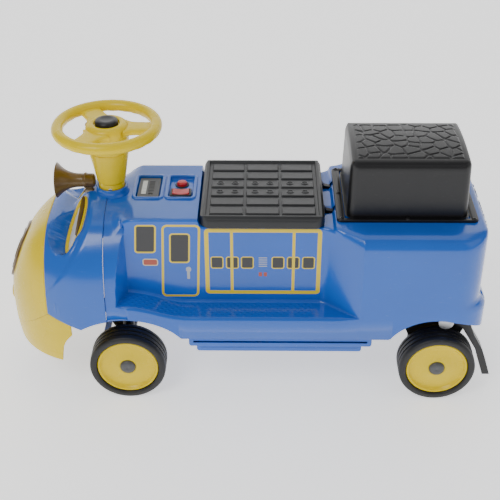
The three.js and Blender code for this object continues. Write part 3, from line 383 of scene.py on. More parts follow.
def body_plastic(colours):
    """Blue moulded skin with the printed door, windows, frames and vents, and the tread pattern.

    Each print is a set of rectangles or slots worked out from the Object coordinates. The prints
    lie on the upright panels beside the seat, so they show only where |y| is near the panel's
    half-width.
    """
    f = Finish("body_blue_plastic")
    x, y, z = f.axes()
    y = y.math("ABSOLUTE")

    def box(cx, cz, half_x, half_z, corner=3.0, slant=0.0):
        """Signed distance to a rounded rectangle, leaning forward by slant per unit of height."""
        dx = (x - cx - (z - cz) * slant).math("ABSOLUTE") - (half_x - corner)
        dz = (z - cz).math("ABSOLUTE") - (half_z - corner)
        out_x = dx.math("MAXIMUM", 0.0)
        out_z = dz.math("MAXIMUM", 0.0)
        outside = (out_x * out_x + out_z * out_z).math("SQRT")
        inside = dx.math("MAXIMUM", dz).math("MINIMUM", 0.0)
        return outside + inside - corner

    def filled(distance):
        return 1.0 - distance.step(-0.35, 0.35)

    def line(distance, width):
        return 1.0 - (distance.math("ABSOLUTE") - width / 2).step(-0.35, 0.35)

    def any_of(first, *rest):
        for other in rest:
            first = first.math("MAXIMUM", other)
        return first

    on_panel = (1.0 - (y - SIZE["panel"]).math("ABSOLUTE").step(3.0, 4.0)) * z.step(196.0, 198.0)
    panel = box(-27, 277.5, 100, 66, 4)
    window = box(181, 325, 17.5, 28, 5, -0.06)
    door = box(120, 278, 32, 75, 8, -0.042)
    glass = box(121, 306, 17, 30, 5, -0.042)
    plates = [box(cx, 276, 10.6, 12, 3.8) for cx in (55, 27.6, 0.8, -53.9, -81.3, -108.4)]
    outlines = [line(panel, 7.5), line(window, 3.2), line(door, 4.2), line(glass, 3.0)]
    outlines += [line(p, 2.0) for p in plates]
    outlines += [filled(box(cx, 277.5, 2.6, 66, 0.5)) for cx in (28.5, -81.6)]
    yellow = any_of(*outlines)
    black = any_of(filled(window), filled(glass), *[filled(p) for p in plates])
    silver = any_of(filled(box(106.5, 261, 4.6, 5.5, 4.4)), filled(box(107, 250, 2.6, 10, 2)), *[
        filled(box(-27, cz, 7.6, 1.0, 0.5)) for cz in (286.5, 282, 277.5, 273, 268.5)])
    red = any_of(filled(box(174.5, 276, 13, 6.6, 4)), filled(box(-22.5, 251, 3.0, 4.4, 1.2)),
                 filled(box(-31.5, 251, 3.0, 4.4, 1.2)))
    cream = line(box(174.5, 276, 13, 6.6, 4), 1.8)

    flow = f.noise(4.0, 3.0, 0.55, (1, 1, 1.7))
    broad = f.noise(11.0, 2.0)
    fine = f.noise(1500.0, 2.0, 0.6)
    scratch = f.noise(75.0, 4.0, 0.72, (1, 7, 3)).step(0.61, 0.74)
    dust = f.noise(30.0, 5.0, 0.75).step(0.55, 0.80)
    blue = colours["blue"]
    base = f.mix(flow.step(0.3, 0.7), shade(blue, 0.95), shade(blue, 1.05))
    scuffed = f.mix(scratch * 0.05, base, (0.55, 0.65, 0.78, 1))
    # Painted shade: below z 152 mm the skin is mixed towards dark grey, in patches from the dust
    # noise, darkest at the skirt's lower edge.
    dark_low = 1.0 - z.step(110.0, 152.0)
    low_shade_base = f.mix(dark_low * dust * 0.30, scuffed, (0.10, 0.11, 0.12, 1))
    layers = [(black, (0.012, 0.012, 0.014, 1)), (silver, (0.42, 0.44, 0.46, 1)),
              (red, (0.42, 0.05, 0.02, 1)), (cream, (0.75, 0.62, 0.35, 1)),
              (yellow, colours["yellow"])]
    for mask, colour in layers:
        low_shade_base = f.mix(mask * on_panel, low_shade_base, colour)

    printed = any_of(yellow, black, silver, red) * on_panel
    tread_zone = (1.0 - z.step(213.0, 215.0)) * y.step(106.0, 109.0) * (1.0 - y.step(147.0, 149.0))
    tread_zone = tread_zone * x.step(-120.0, -112.0) * z.step(186.0, 188.0)
    lean = (x + y) * (math.pi / 13.0)
    cross = (x - y) * (math.pi / 13.0)
    tread = (lean.math("SINE") * cross.math("SINE")).math("ABSOLUTE").step(0.55, 0.85) * tread_zone
    height = fine * 0.010 + broad * 0.16 - scratch * 0.006 + printed * 0.03 + tread * 0.9
    rough = (0.19 + (broad - 0.5) * 0.05 + scratch * 0.06 + dust * 0.05 + printed * 0.10
             + dark_low * 0.1)
    f.feed(f.surface.inputs["Coat Roughness"], 0.05)
    f.feed(f.surface.inputs["Specular IOR Level"], 0.55)
    return f.set(Base_Color=low_shade_base, Roughness=rough, Coat_Weight=0.25,
                 Normal=f.bump(height, 0.7, 1.0))


LOOKS = {}


def make_looks(options):
    """Builds every finish once from the colours in the panel."""
    pick = {key: tuple(getattr(options, key)) for key in COLOUR_KEYS}
    LOOKS.clear()
    LOOKS.update(
        body_blue=body_plastic(pick),
        trim_yellow=moulded("trim_yellow_plastic", pick["yellow"], 0.27, specular=0.35),
        black_plastic=moulded("black_plastic", (0.009, 0.009, 0.010), 0.36, grain=0.05,
                              grain_size=0.9,
                              scuff=0.5),
        seat_black=moulded("seat_plastic", (0.010, 0.011, 0.013), 0.38, grain=0.08, grain_size=1.1,
                           scuff=0.5),
        box_black=moulded("tender_box_plastic", (0.006, 0.006, 0.007), 0.34, grain=0.04, scuff=0.4),
        tyre_black=moulded("tyre_plastic", (0.010, 0.010, 0.011), 0.50, grain=0.12, scuff=0.9),
        cap_grey=moulded("cap_plastic", (0.075, 0.078, 0.082), 0.40, grain=0.03, scuff=0.4),
        horn_bronze=moulded("bronze_paint", pick["bronze"], 0.34, grain=0.02, coat=0.2, scuff=0.4),
        switch_red=moulded("red_plastic", pick["red"], 0.22, coat=0.2),
        lens_white=moulded("lens_plastic", pick["lens"], 0.18, ripple=0.3, coat=0.4, scuff=0.15),
        gear_white=moulded("nylon", (0.72, 0.70, 0.64), 0.42, grain=0.03),
        steel=metal("zinc_steel", (0.62, 0.63, 0.65), 0.32),
    )


# ------------------------------------------------------------------ shapes shared by several pieces
def sheet_grid(half_x, half_y, corner, pitch, drops):
    """Grid over a rounded rectangle whose border rows run down its sides.

    Points inside a corner's square are drawn radially into a quarter disc. drops lists how far each
    extra border row lies below the edge. Returns x, y, drop and the quads to keep.
    """
    drops = np.asarray(drops, dtype=float)
    inner_x = np.linspace(-half_x, half_x, int(2 * half_x / pitch) + 1)
    inner_y = np.linspace(-half_y, half_y, int(2 * half_y / pitch) + 1)
    pad = len(drops)
    x = np.concatenate([np.full(pad, -half_x), inner_x, np.full(pad, half_x)])
    y = np.concatenate([np.full(pad, -half_y), inner_y, np.full(pad, half_y)])
    fall_x = np.concatenate([drops[::-1], np.zeros(len(inner_x)), drops])
    fall_y = np.concatenate([drops[::-1], np.zeros(len(inner_y)), drops])
    x, y = np.meshgrid(x, y, indexing="ij")
    fall = np.maximum(fall_x[:, None], fall_y[None, :])
    dx = np.maximum(np.abs(x) - (half_x - corner), 0)
    dy = np.maximum(np.abs(y) - (half_y - corner), 0)
    both = (dx > 0) & (dy > 0)
    length = np.maximum(np.hypot(dx, dy), 1e-9)
    pull = np.where(both, np.maximum(dx, dy) / length, 1.0)
    x = np.where(both, np.sign(x) * (half_x - corner + dx * pull), x)
    y = np.where(both, np.sign(y) * (half_y - corner + dy * pull), y)
    rows, columns = x.shape
    i = np.arange(rows - 1)[:, None]
    j = np.arange(columns - 1)[None, :]
    edge_i = (i < pad) | (i >= rows - 1 - pad)
    edge_j = (j < pad) | (j >= columns - 1 - pad)
    return x, y, fall, ~(edge_i & edge_j)


def tube(path, radius, sides=10, closed=True):
    """A round tube along a path. Its ring at each point lies across the path's direction."""
    path = np.asarray(path, dtype=float)
    if closed:
        ahead, behind = np.roll(path, -1, axis=0), np.roll(path, 1, axis=0)
    else:
        ahead = np.concatenate([path[1:], path[-1:]])
        behind = np.concatenate([path[:1], path[:-1]])
    direction = ahead - behind
    direction /= np.linalg.norm(direction, axis=1, keepdims=True)
    up = np.where(np.abs(direction[:, 2:]) > 0.9, [[0.0, 1.0, 0.0]], [[0.0, 0.0, 1.0]])
    across = np.cross(direction, up)
    across /= np.linalg.norm(across, axis=1, keepdims=True)
    over = np.cross(across, direction)
    angle = np.linspace(0, 2 * np.pi, sides, endpoint=False)
    ring = across[:, None] * np.cos(angle)[:, None] + over[:, None] * np.sin(angle)[:, None]
    return path[:, None] + ring * radius


def rounded_loop(half_u, half_v, corner, steps=8):
    """Points round a rounded rectangle about the origin, anticlockwise."""
    quarter = np.linspace(0, np.pi / 2, steps)
    parts = []
    for turn, (su, sv) in enumerate(((1, 1), (-1, 1), (-1, -1), (1, -1))):
        angle = quarter + turn * np.pi / 2
        parts.append(np.stack([su * (half_u - corner) + corner * np.cos(angle),
                               sv * (half_v - corner) + corner * np.sin(angle)], axis=1))
    return np.concatenate(parts)


def stacked(loops, heights):
    """Grid of level loops, each lifted to its own height."""
    return np.stack([np.concatenate([loop, np.full((len(loop), 1), z)], axis=1)
                     for loop, z in zip(loops, heights)])


def mirrored(grid):
    """The same grid on the other side of the train."""
    return np.asarray(grid) * np.array([1.0, -1.0, 1.0])


def across_nose(x, z):
    """Half-width of the swollen nose at station x and height z, and 0 outside it."""
    swell = np.sqrt(1 - np.clip((x - BULB["x"]) / BULB["a"], 0, 1) ** 2)
    height = np.abs(z - BULB["z"]) / np.maximum(BULB["c"] * swell, 1e-6)
    return BULB["b"] * swell * np.clip(1 - height ** BULB["n"], 0, 1) ** (1 / BULB["n"])


def nose_angle(x, z):
    """Angle about the nose's axis at which its surface reaches height z at station x."""
    return np.arctan2(z - BULB["z"], across_nose(x, z))


def nose_front(y, z):
    """Where the front of the nose lies along x over (y, z)."""
    n = BULB["n"]
    reach = np.abs(y / BULB["b"]) ** n + np.abs((z - BULB["z"]) / BULB["c"]) ** n
    return BULB["x"] + BULB["a"] * np.sqrt(np.clip(1 - reach ** (2 / n), 0, 1))


def nose_low(x):
    """Height of the border between the blue nose and the yellow bumper."""
    return 164.0 + 0.418 * (x - SEAM_X - 50)


def mask_low(x):
    """Height of the border between the yellow mask and the bumper."""
    return nose_low(MASK_X) - 0.9 * (x - MASK_X)


# ------------------------------------------------------------------ main body
def body_widths(x):
    """Half-widths of the body at stations x: of its top, of the footboard line, and of its side."""
    rear_wall = SIZE["panel"] + (REAR_AXLE_X + 215 - x) * (SIDE_Y - SIZE["panel"]) / 65
    front_wall = SIZE["panel"] + (x - (SEAM_X - 35)) * (SIDE_Y - SIZE["panel"]) / 17
    wall = soft_max(soft_max(rear_wall, front_wall, 7), SIZE["panel"] + 0 * x, 7)
    turn = np.clip((REAR_X + 62 - x) / 50, 0, 1)
    side = SIDE_Y - 50 + 50 * np.sqrt(1 - turn ** 2)
    return np.minimum(wall, side), side


def body_top(x):
    """Height of the body's top at stations x: tender, seat deck, dash and cowl."""
    tender = TENDER_Z - 9 * (1 - np.sqrt(1 - np.clip((REAR_X + 21 - x) / 9, 0, 1) ** 2))
    deck = TENDER_Z - (TENDER_Z - DECK_Z) * smooth_step(-155, -150, x)
    dash = (SIZE["dash"] - DECK_Z) * smooth_step(DASH_X - 1, DASH_X + 4, x)
    return np.where(x < -160, tender, deck + dash)


def body_bottom(x):
    """Height of the body's lower edge: the skirt, risen over both wheel arches."""
    low = np.maximum(arch_height(x, FRONT_ARCH), arch_height(x, REAR_ARCH))
    return np.maximum(low, SIZE["skirt"])


def body_sections(x):
    """Cross-sections of the left half, from the middle of the top down to the lower edge."""
    wall, side = body_widths(x)
    top = body_top(x)
    bottom = body_bottom(x)
    board = SIZE["board"] + SIZE["board_rise"] * smooth_step(109, 219, x)
    board = soft_max(board, bottom + 6, 6)
    tender = 1 - smooth_step(-206, -150, x)
    cowl = smooth_step(SEAM_X - 36, SEAM_X - 18, x)
    top_radius = 8 + 42 * tender + 60 * cowl
    open_side = np.clip((side - wall) / 30, 0, 1)
    low_radius = 2 + 5 * open_side
    board_radius = 1 + 8 * open_side
    points = np.zeros((len(x), 5, 2))
    points[:, 0] = np.stack([wall * 0 + 90, top], axis=1)
    points[:, 1] = np.stack([wall, top], axis=1)
    points[:, 2] = np.stack([wall + 0.5, board], axis=1)
    points[:, 3] = np.stack([side, board], axis=1)
    points[:, 4] = np.stack([side, bottom], axis=1)
    points[:, 3, 0] = np.maximum(points[:, 3, 0], points[:, 2, 0] + 0.01)
    radii = np.stack([top_radius * 0, top_radius, low_radius, board_radius, top_radius * 0], axis=1)
    line = rounded(points, radii, 9)
    share = np.linspace(0, 1, 26)[1:-1, None]
    upright = line[:, 9:10] * (1 - share) + line[:, 10:11] * share
    return np.concatenate([line[:, :10], upright, line[:, 10:]], axis=1)


def under_cowl(grid):
    """Draws the front of the body in to the cowl's superellipse, seen along the nose's axis.

    The dash slab keeps its full height at x 200 and has sunk into the cowl by x 244.
    """
    x, y = grid[..., 0], grid[..., 1]
    arm = grid[..., 1:] - [0.0, BULB["z"]]
    length = np.maximum(np.linalg.norm(arm, axis=-1), 1e-9)
    angle = np.arctan2(arm[..., 1], arm[..., 0])
    limit = superellipse_radius(angle, SIDE_Y, COWL_Z - BULB["z"], BULB["n"])
    pull = np.minimum(1, limit / length)
    slab = np.abs(y) <= SIZE["panel"] + 0.6
    keep_slab = np.where(slab, 1 - smooth_step(200, 244, x), x < SEAM_X - 38)
    pull = pull + (1 - pull) * keep_slab
    return np.concatenate([x[..., None], arm * pull[..., None] + [0.0, BULB["z"]]], axis=-1)


def main_body():
    """Skin of the tub, tender, seat deck, dash and footboards, as one grid of cross-sections.

    Each cross-section runs from the middle of the top, over the shoulder, down the side of the seat
    box, across the footboard and down the skirt. The shoulder radius grows over the tender. The
    lowest 70 mm of the rear swell out by 12 mm. Tunnels over the wheels and two inset steps under
    the skirt are further grids that share its edges.
    """
    pockets_x = [span("switch_bezel"), span("sound_panel")]
    centres = [(low[0] + high[0]) / 2 for low, high in pockets_x]
    edges = [c + s for c in centres for s in (-22, 22)]
    fixed = [REAR_X + 12, REAR_X + 62, -206, -201, -157, -155, -150, -140, -135, -131, 83, 88, 109,
             219, 236,
             FRONT_ARCH[0] - FRONT_ARCH[1], REAR_ARCH[0] - REAR_ARCH[1],
             REAR_ARCH[0] + REAR_ARCH[1]]
    ends = np.arccos(np.linspace(-1, 1, 60)) / np.pi
    arch_x = np.concatenate([c + a * (2 * ends - 1) for c, a, _ in (FRONT_ARCH, REAR_ARCH)])
    rear = REAR_X + 12 + 50 * (1 - np.cos(np.linspace(0, np.pi / 2, 24)))
    walls = np.concatenate([np.linspace(-208, -130, 40), np.linspace(214, 240, 20)])
    x = np.concatenate([fixed, edges, arch_x, rear, walls, np.arange(REAR_X + 12, SEAM_X, 4.0)])
    x = x[(x >= REAR_X + 12) & (x <= SEAM_X - 0.2)]
    x = np.unique(np.round(np.append(x, SEAM_X - 0.2), 3))
    x = x[np.concatenate([[True], np.diff(x) > 0.25])]
    x[-1] = SEAM_X - 0.2
    half = body_sections(x)
    top_y = np.array([0.0, 12, 24, 37.5, 50.5, 52, 59, 72, 84])
    top = np.stack([np.broadcast_to(top_y, (len(x), len(top_y))),
                    np.broadcast_to(body_top(x)[:, None], (len(x), len(top_y)))], axis=-1)
    half = np.concatenate([top, half], axis=1)
    full = np.concatenate([half[:, ::-1] * [-1, 1], half[:, 1:]], axis=1)
    grid = np.concatenate([np.broadcast_to(x[:, None, None], (*full.shape[:2], 1)), full], axis=-1)

    def flare(points):
        """Moves the lower rear back by up to 12 mm, rounding over from z 222 to z 206."""
        points = np.array(points)
        round_back = np.sin(np.clip((REAR_X + 62 - points[..., 0]) / 50, 0, 1) * np.pi / 2)
        points[..., 0] -= 12 * round_back * (1 - smooth_step(203, 221, points[..., 2]))
        return points

    def solid_top(centre):
        """False for the quads over the two dash pockets and the slots for the seat's arms."""
        in_pocket = np.zeros(len(centre), bool)
        for c in centres:
            near = (np.abs(centre[:, 0] - c) < 21.9) & (centre[:, 1] > -52) & (centre[:, 1] < 24)
            in_pocket |= near & (centre[:, 2] > SIZE["dash"] - 1)
        over_bay = (np.abs(centre[:, 0] + 146) < 10.95) & (np.abs(np.abs(centre[:, 1]) - 44) < 6.4)
        return ~(in_pocket | over_bay & (centre[:, 2] > 340))

    body = Shape().add(flare(under_cowl(grid)), keep=solid_top, flip=True)
    back = densify(half[0, ::-1], 5.0)
    columns = back[:, :1] * np.linspace(-1, 1, 15)
    rear_wall = np.stack([np.full_like(columns, x[0]), columns,
                          np.broadcast_to(back[:, 1:], columns.shape)], axis=-1)
    body.add(flare(rear_wall), flip=True)
    for arch in (FRONT_ARCH, REAR_ARCH):
        under = x[(x > arch[0] - arch[1]) & (x < arch[0] + arch[1])]
        under = under[arch_height(under, arch) > SIZE["skirt"]]
        y = np.linspace(-1, 1, 25) * body_widths(under)[1][:, None]
        tunnel = np.stack([np.broadcast_to(under[:, None], y.shape), y,
                           np.broadcast_to(body_bottom(under)[:, None], y.shape)], axis=-1)
        body.add(flare(tunnel))
    for middle in (44, -44):
        rim = rounded_loop(11, 6.5, 0.4, 3) + [-146, middle]
        rim = densify(np.concatenate([rim, rim[:1]]), 1.5)[:-1]
        rim_z = body_top(rim[:, 0])
        slot = np.stack([np.stack([(rim[:, 0] + 146) * k - 146, (rim[:, 1] - middle) * k + middle,
                                   rim_z + (328 - rim_z) * t], axis=1)
                         for t, k in ((0, 1), (0.06, 1), (0.5, 1), (1, 1), (1, 0.02))])
        body.add(slot, wrap_columns=True)
    body.make("body_skin", "body", "body_blue", ["main_body_shell"],
              thickness=SIZE["wall"], weld=0.05, smooth_angle=38)


def skirt_steps():
    """The two narrow steps under the skirt on each side: rounded plates set in 4 mm each.

    Each is a grid round a rounded loop in side view, swept across from face to face.
    """
    steps = Shape()
    ranges = ((REAR_AXLE_X + 125, 107.6, 125, SIZE["skirt"] + 3, SIDE_Y - 1.6),
              (REAR_AXLE_X + 143, 93.6, 111, 128, SIDE_Y - 5))
    for x0, x1, z0, z1, y in ranges:
        inset = np.array([8.3, 0.0, 0.0, 0.5, 1.6, 8.3])
        across = np.array([y - 14, y - 13.2, y - 1.6, y - 0.5, y, y])
        middle = np.array([(x0 + x1) / 2, (z0 + z1) / 2])
        loops = np.stack([rounded_loop((x1 - x0) / 2 - i, (z1 - z0) / 2 - i, max(5 - i, 0.1))
                          + middle
                          for i in inset])
        plate = np.stack([loops[..., 0], np.broadcast_to(across[:, None], loops.shape[:2]),
                          loops[..., 1]], axis=-1)
        steps.add(plate, wrap_columns=True)
        steps.add(mirrored(plate), wrap_columns=True, flip=True)
    steps.make("skirt_steps", "body", "body_blue", recalc=True)


def dash_pockets():
    """Raised lips and sunk floors of the two dash pockets.

    Each is one loop of a rounded rectangle carried through a profile: up and over the lip, down the
    inner wall and in across the floor.
    """
    pockets = Shape()
    for node in ("switch_bezel", "sound_panel"):
        low, high = span(node)
        centre = np.array([(low[0] + high[0]) / 2, -14.0])
        inset = np.array([-7.0, -6.4, -5.4, -3.2, -1.2, -0.2, 0.2, 0.6, 1.6, 3.0, 21.0])
        level = np.array([0.0, 1.6, 2.5, 2.9, 2.5, 1.4, 0.0, -3.6, -4.8, -5.0, -5.0]) + SIZE["dash"]
        loops = [rounded_loop(22 - i, 38 - i, max(5 - i * 0.6, 1.0)) + centre for i in inset]
        pockets.add(stacked(loops, level), wrap_columns=True, flip=True)
    pockets.make("dash_pockets", "body", "body_blue", recalc=False)


# ------------------------------------------------------------------ nose, mask and bumper
def cowl_radius(x, angle):
    """Distance from the nose's axis to the cowl cut by the two windscreen planes."""
    swell = np.sqrt(1 - np.clip((x - BULB["x"]) / BULB["a"], 0, 1) ** 2)
    cowl = superellipse_radius(angle, BULB["b"] * swell, (COWL_Z - BULB["z"]) * swell, BULB["n"])
    ahead = -SCREEN_N[0] * (x - SCREEN_TOP_X) + SCREEN_N[2] * (COWL_Z - BULB["z"])
    slope = SCREEN_N[1] * np.abs(np.cos(angle)) + SCREEN_N[2] * np.sin(angle)
    screen = np.where(slope > 1e-3, ahead / np.maximum(slope, 1e-3), 1e4)
    return soft_min(cowl, np.maximum(screen, 1.0), 0.2 + 7 * smooth_step(0.5, 0.8, np.sin(angle)))


def nose_radius(x, angle):
    """Distance from the nose's axis to its skin: the cowl, joined to the lower hood ahead."""
    swell = np.sqrt(1 - np.clip((x - BULB["x"]) / BULB["a"], 0, 0.9999) ** 2)
    hood = superellipse_radius(angle, BULB["b"] * swell, BULB["c"] * swell, BULB["n"])
    flat = (SIZE["hood"] - BULB["z"]) / np.maximum(np.sin(angle), 1e-3)
    flat = np.where(np.sin(angle) > 0.05, flat, 1e4)
    hood = soft_min(hood, flat, 8)
    blend = 0.2 + 6 * smooth_step(0.55, 0.85, np.sin(angle))
    return np.where(x < BULB["x"], cowl_radius(x, angle), soft_max(hood, cowl_radius(x, angle),
                                                                   blend))


def nose_grid(x, low, high, columns, radius):
    """Grid of a band round the nose from angle low to angle high at each station."""
    share = np.linspace(0, 1, columns)
    angle = low[:, None] + (high - low)[:, None] * share
    r = radius(x[:, None], angle)
    return np.stack([np.broadcast_to(x[:, None], angle.shape), r * np.cos(angle),
                     BULB["z"] + r * np.sin(angle)], axis=-1)


def nose_shell():
    """Blue nose: a superelliptic swelling from the cowl to the mask, as polar cross-sections."""
    x = np.unique(np.concatenate([np.arange(SEAM_X + 0.2, MASK_X, 1.5), [MASK_X - 0.2]]))
    border = np.maximum(nose_low(x), arch_height(x, FRONT_ARCH)
                        * (x < FRONT_ARCH[0] + FRONT_ARCH[1]))
    low = nose_angle(x, border)
    grid = nose_grid(x, low, np.pi - low, 241, nose_radius)
    for side in (1, -1):
        grid = sunk_for_lamp(grid, side)
    shell = Shape().add(grid, flip=True)
    shell.make("nose_skin", "body", "body_blue", ["nose_shell"], thickness=SIZE["wall"],
               smooth_angle=50)


def sunk_for_lamp(grid, side):
    """Presses the nose flat under a lamp's oval, with a short slope round it."""
    along, across, out, centre = lamp_frame(side)
    place = grid - centre
    oval = np.hypot(place @ along / 59, place @ across / 25)
    above = place @ out
    near = (1 - smooth_step(1.04, 1.13, oval)) * (above > -0.8) * (grid[..., 1] * side > 0)
    return grid - (near * (above + 0.8))[..., None] * out


def front_mask():
    """Yellow face of the nose, ahead of the blue shell and above the bumper's border line."""
    ahead = np.sin(np.linspace(np.arcsin((MASK_X + 0.2 - BULB["x"]) / BULB["a"]), np.pi / 2, 70))
    x = BULB["x"] + BULB["a"] * ahead
    low = np.where(x < x[-1] - 1e-6, nose_angle(x, mask_low(x) + 0.2), -np.pi / 2)
    low = np.where(BULB["z"] - mask_low(x) > BULB["c"] * np.sqrt(1 - np.minimum(ahead, 1) ** 2) - 0.2,
                   -np.pi / 2, low)
    grid = nose_grid(x, low, np.pi - low, 181, bulb_radius)
    mask = Shape().add(grid, flip=True)
    mask.make("mask_skin", "body", "trim_yellow", ["front_mask"],
              thickness=SIZE["wall"], smooth_angle=60)


def front_bumper():
    """Yellow bumper below the mask: the same swelling between its lower edge and the border."""
    ahead = np.sin(np.linspace(0, np.arcsin(0.9995), 90))
    x = BULB["x"] + BULB["a"] * ahead
    x = x[x > SEAM_X + 64]
    swell = np.sqrt(1 - ((x - BULB["x"]) / BULB["a"]) ** 2)
    arch = np.where(x < FRONT_ARCH[0] + FRONT_ARCH[1], arch_height(x, FRONT_ARCH), 0)
    low_z = np.maximum(85.0, arch)
    high_z = np.where(x < MASK_X, nose_low(x), mask_low(x)) - 0.2
    high_z = np.maximum(high_z, low_z + 0.5)
    low, high = nose_angle(x, low_z), nose_angle(x, high_z)
    inside = BULB["z"] - BULB["c"] * swell
    low = np.where(inside > low_z, -np.pi / 2, low)
    high = np.where(inside > high_z, -np.pi / 2, high)
    keep = high > low + 1e-3
    half = nose_grid(x[keep], low[keep], high[keep], 40, bulb_radius)
    bumper = Shape().add(half, flip=True).add(mirrored(half))
    bumper.make("bumper_skin", "body", "trim_yellow", ["front_bumper"],
                thickness=SIZE["wall"], smooth_angle=60)


def nose_trim():
    """Bronze roundel on the mask, following its curve, with raised rings."""
    ring = np.array([0, 8, 16, 17.5, 19, 30, 36, 37.5, 39, 46, 49, 51, 52, 52])
    out = np.array([6.4, 6.2, 5.6, 6.6, 5.4, 5.2, 5.2, 6.8, 5.2, 5.6, 7.0, 6.6, 5.0, 0.3])
    angle = np.linspace(0, 2 * np.pi, 96, endpoint=False)
    y = ring[:, None] * np.cos(angle)
    z = 240 + ring[:, None] * np.sin(angle)
    x = nose_front(y, z) + out[:, None]
    roundel = Shape().add(np.stack([x, y, z], axis=-1), wrap_columns=True, flip=False)
    roundel.make("nose_roundel", "body", "horn_bronze", ["nose_plate"],
                 recalc=True)
    tip = span("coupling_knob")[1][0]
    profile = [(0, tip), (8, tip - 0.4), (13, tip - 1.8), (16.6, tip - 4.5), (18, tip - 8),
               (18, tip - 24), (12, tip - 24)]
    knob = Shape().add(lathe(profile, "x", (0, 0, 142), 48), wrap_columns=True)
    knob.make("knob_skin", "body", "trim_yellow", ["coupling_knob"],
              recalc=True)


def nose_vents():
    """Moulded vent on each flank of the nose: a rounded frame, a centre bar and six louvres.

    Each bar is a tube along a line in side view laid on the nose's skin. The skin's half-width at a
    height is found by walking the angle about the nose's axis to it.
    """
    def laid(path):
        x, z = path.T
        out = across_nose(x, z)
        for _ in range(12):
            angle = np.arctan2(z - BULB["z"], out)
            out = nose_radius(x, angle) * np.cos(angle)
        return np.stack([x, out + 0.3, z], axis=1)

    vents = Shape()
    centre = np.array([316.0, 204.0])
    lines = [(rounded_loop(18, 21, 6, 8) + centre, 1.7, True)]
    lines.append((np.stack([np.full(14, centre[0]), np.linspace(184, 224, 14)], axis=1), 1.3,
                  False))
    lines += [(np.stack([np.linspace(299, 333, 14), np.full(14, z)], axis=1), 1.1, False)
              for z in (188.5, 194.5, 200.5, 207.5, 213.5, 219.5)]
    for path, radius, closed in lines:
        grid = tube(laid(densify(path, 2.5)), radius, 8, closed)
        vents.add(grid, wrap_rows=closed, wrap_columns=True)
        vents.add(mirrored(grid), wrap_rows=closed, wrap_columns=True, flip=True)
    vents.make("nose_vents", "body", "body_blue", recalc=True)


def lamp_frame(side):
    """Axes of a windscreen lamp: along, across and outward, and its centre."""
    out = SCREEN_N * [1, side, 1]
    down = np.array([0.16, 0.82 * side, -0.55])
    along = down - out * (down @ out)
    along /= np.linalg.norm(along)
    across = np.cross(out, along) * side
    centre = np.array([SCREEN_TOP_X, 0, COWL_Z]) + along * 73
    return along, across, out, centre


def lamps():
    """Oval bezels, domed ribbed lenses and bronze hoods, as rings of an oval at set insets."""
    angle = np.linspace(0, 2 * np.pi, 96, endpoint=False)
    for side, name in ((1, "left"), (-1, "right")):
        along, across, out, centre = lamp_frame(side)

        def oval(inset, level, part=angle):
            u = (59 - inset)[:, None] * np.cos(part)
            v = (25 - inset)[:, None] * np.sin(part)
            return (centre + u[..., None] * along + v[..., None] * across
                    + np.broadcast_to(level, u.shape)[..., None] * out)

        inset = np.array([-0.5, 0.0, 0.6, 2.0, 4.0, 6.0, 7.4, 8.0, 8.0])
        level = np.array([-2.0, 3.6, 5.0, 6.0, 6.3, 6.0, 5.0, 3.6, 0.2])
        Shape().add(oval(inset, level[:, None]), wrap_columns=True).make(
            "lamp_bezel_skin_" + name, "body", "trim_yellow", ["lamp_bezel_" + name], recalc=True,
            smooth_angle=60)
        inset = np.array([8.2, 8.4, 10, 13, 17, 21, 24.9])
        level = np.array([0.4, 2.4, 3.2, 3.9, 4.4, 4.6, 4.7])
        ribs = 0.25 * np.cos(angle * 16) * np.clip((24 - inset) / 12, 0, 1)[:, None]
        Shape().add(oval(inset, level[:, None] + ribs), wrap_columns=True).make(
            "lamp_lens_skin_" + name, "body", "lens_white", ["lamp_lens_" + name], recalc=True,
            smooth_angle=60)
        back = np.linspace(np.pi * 0.34, np.pi * 0.93, 48)
        inset = np.array([7.5, 7.0, 5.0, 2.5, 0.8, 0.6, 1.2, 3.0, 7.5])
        level = np.array([6.4, 9.0, 13.5, 14.6, 12.0, 8.0, 6.6, 6.4, 6.4])
        fade = np.sin(np.linspace(0.12, np.pi - 0.12, 48)) ** 0.6
        rise = 6.4 + (level[:, None] - 6.4) * fade
        hood = oval(inset, rise, back)
        Shape().add(hood).make(
            "lamp_hood_skin_" + name, "body", "horn_bronze", ["lamp_hood_" + name], recalc=True,
            smooth_angle=60)


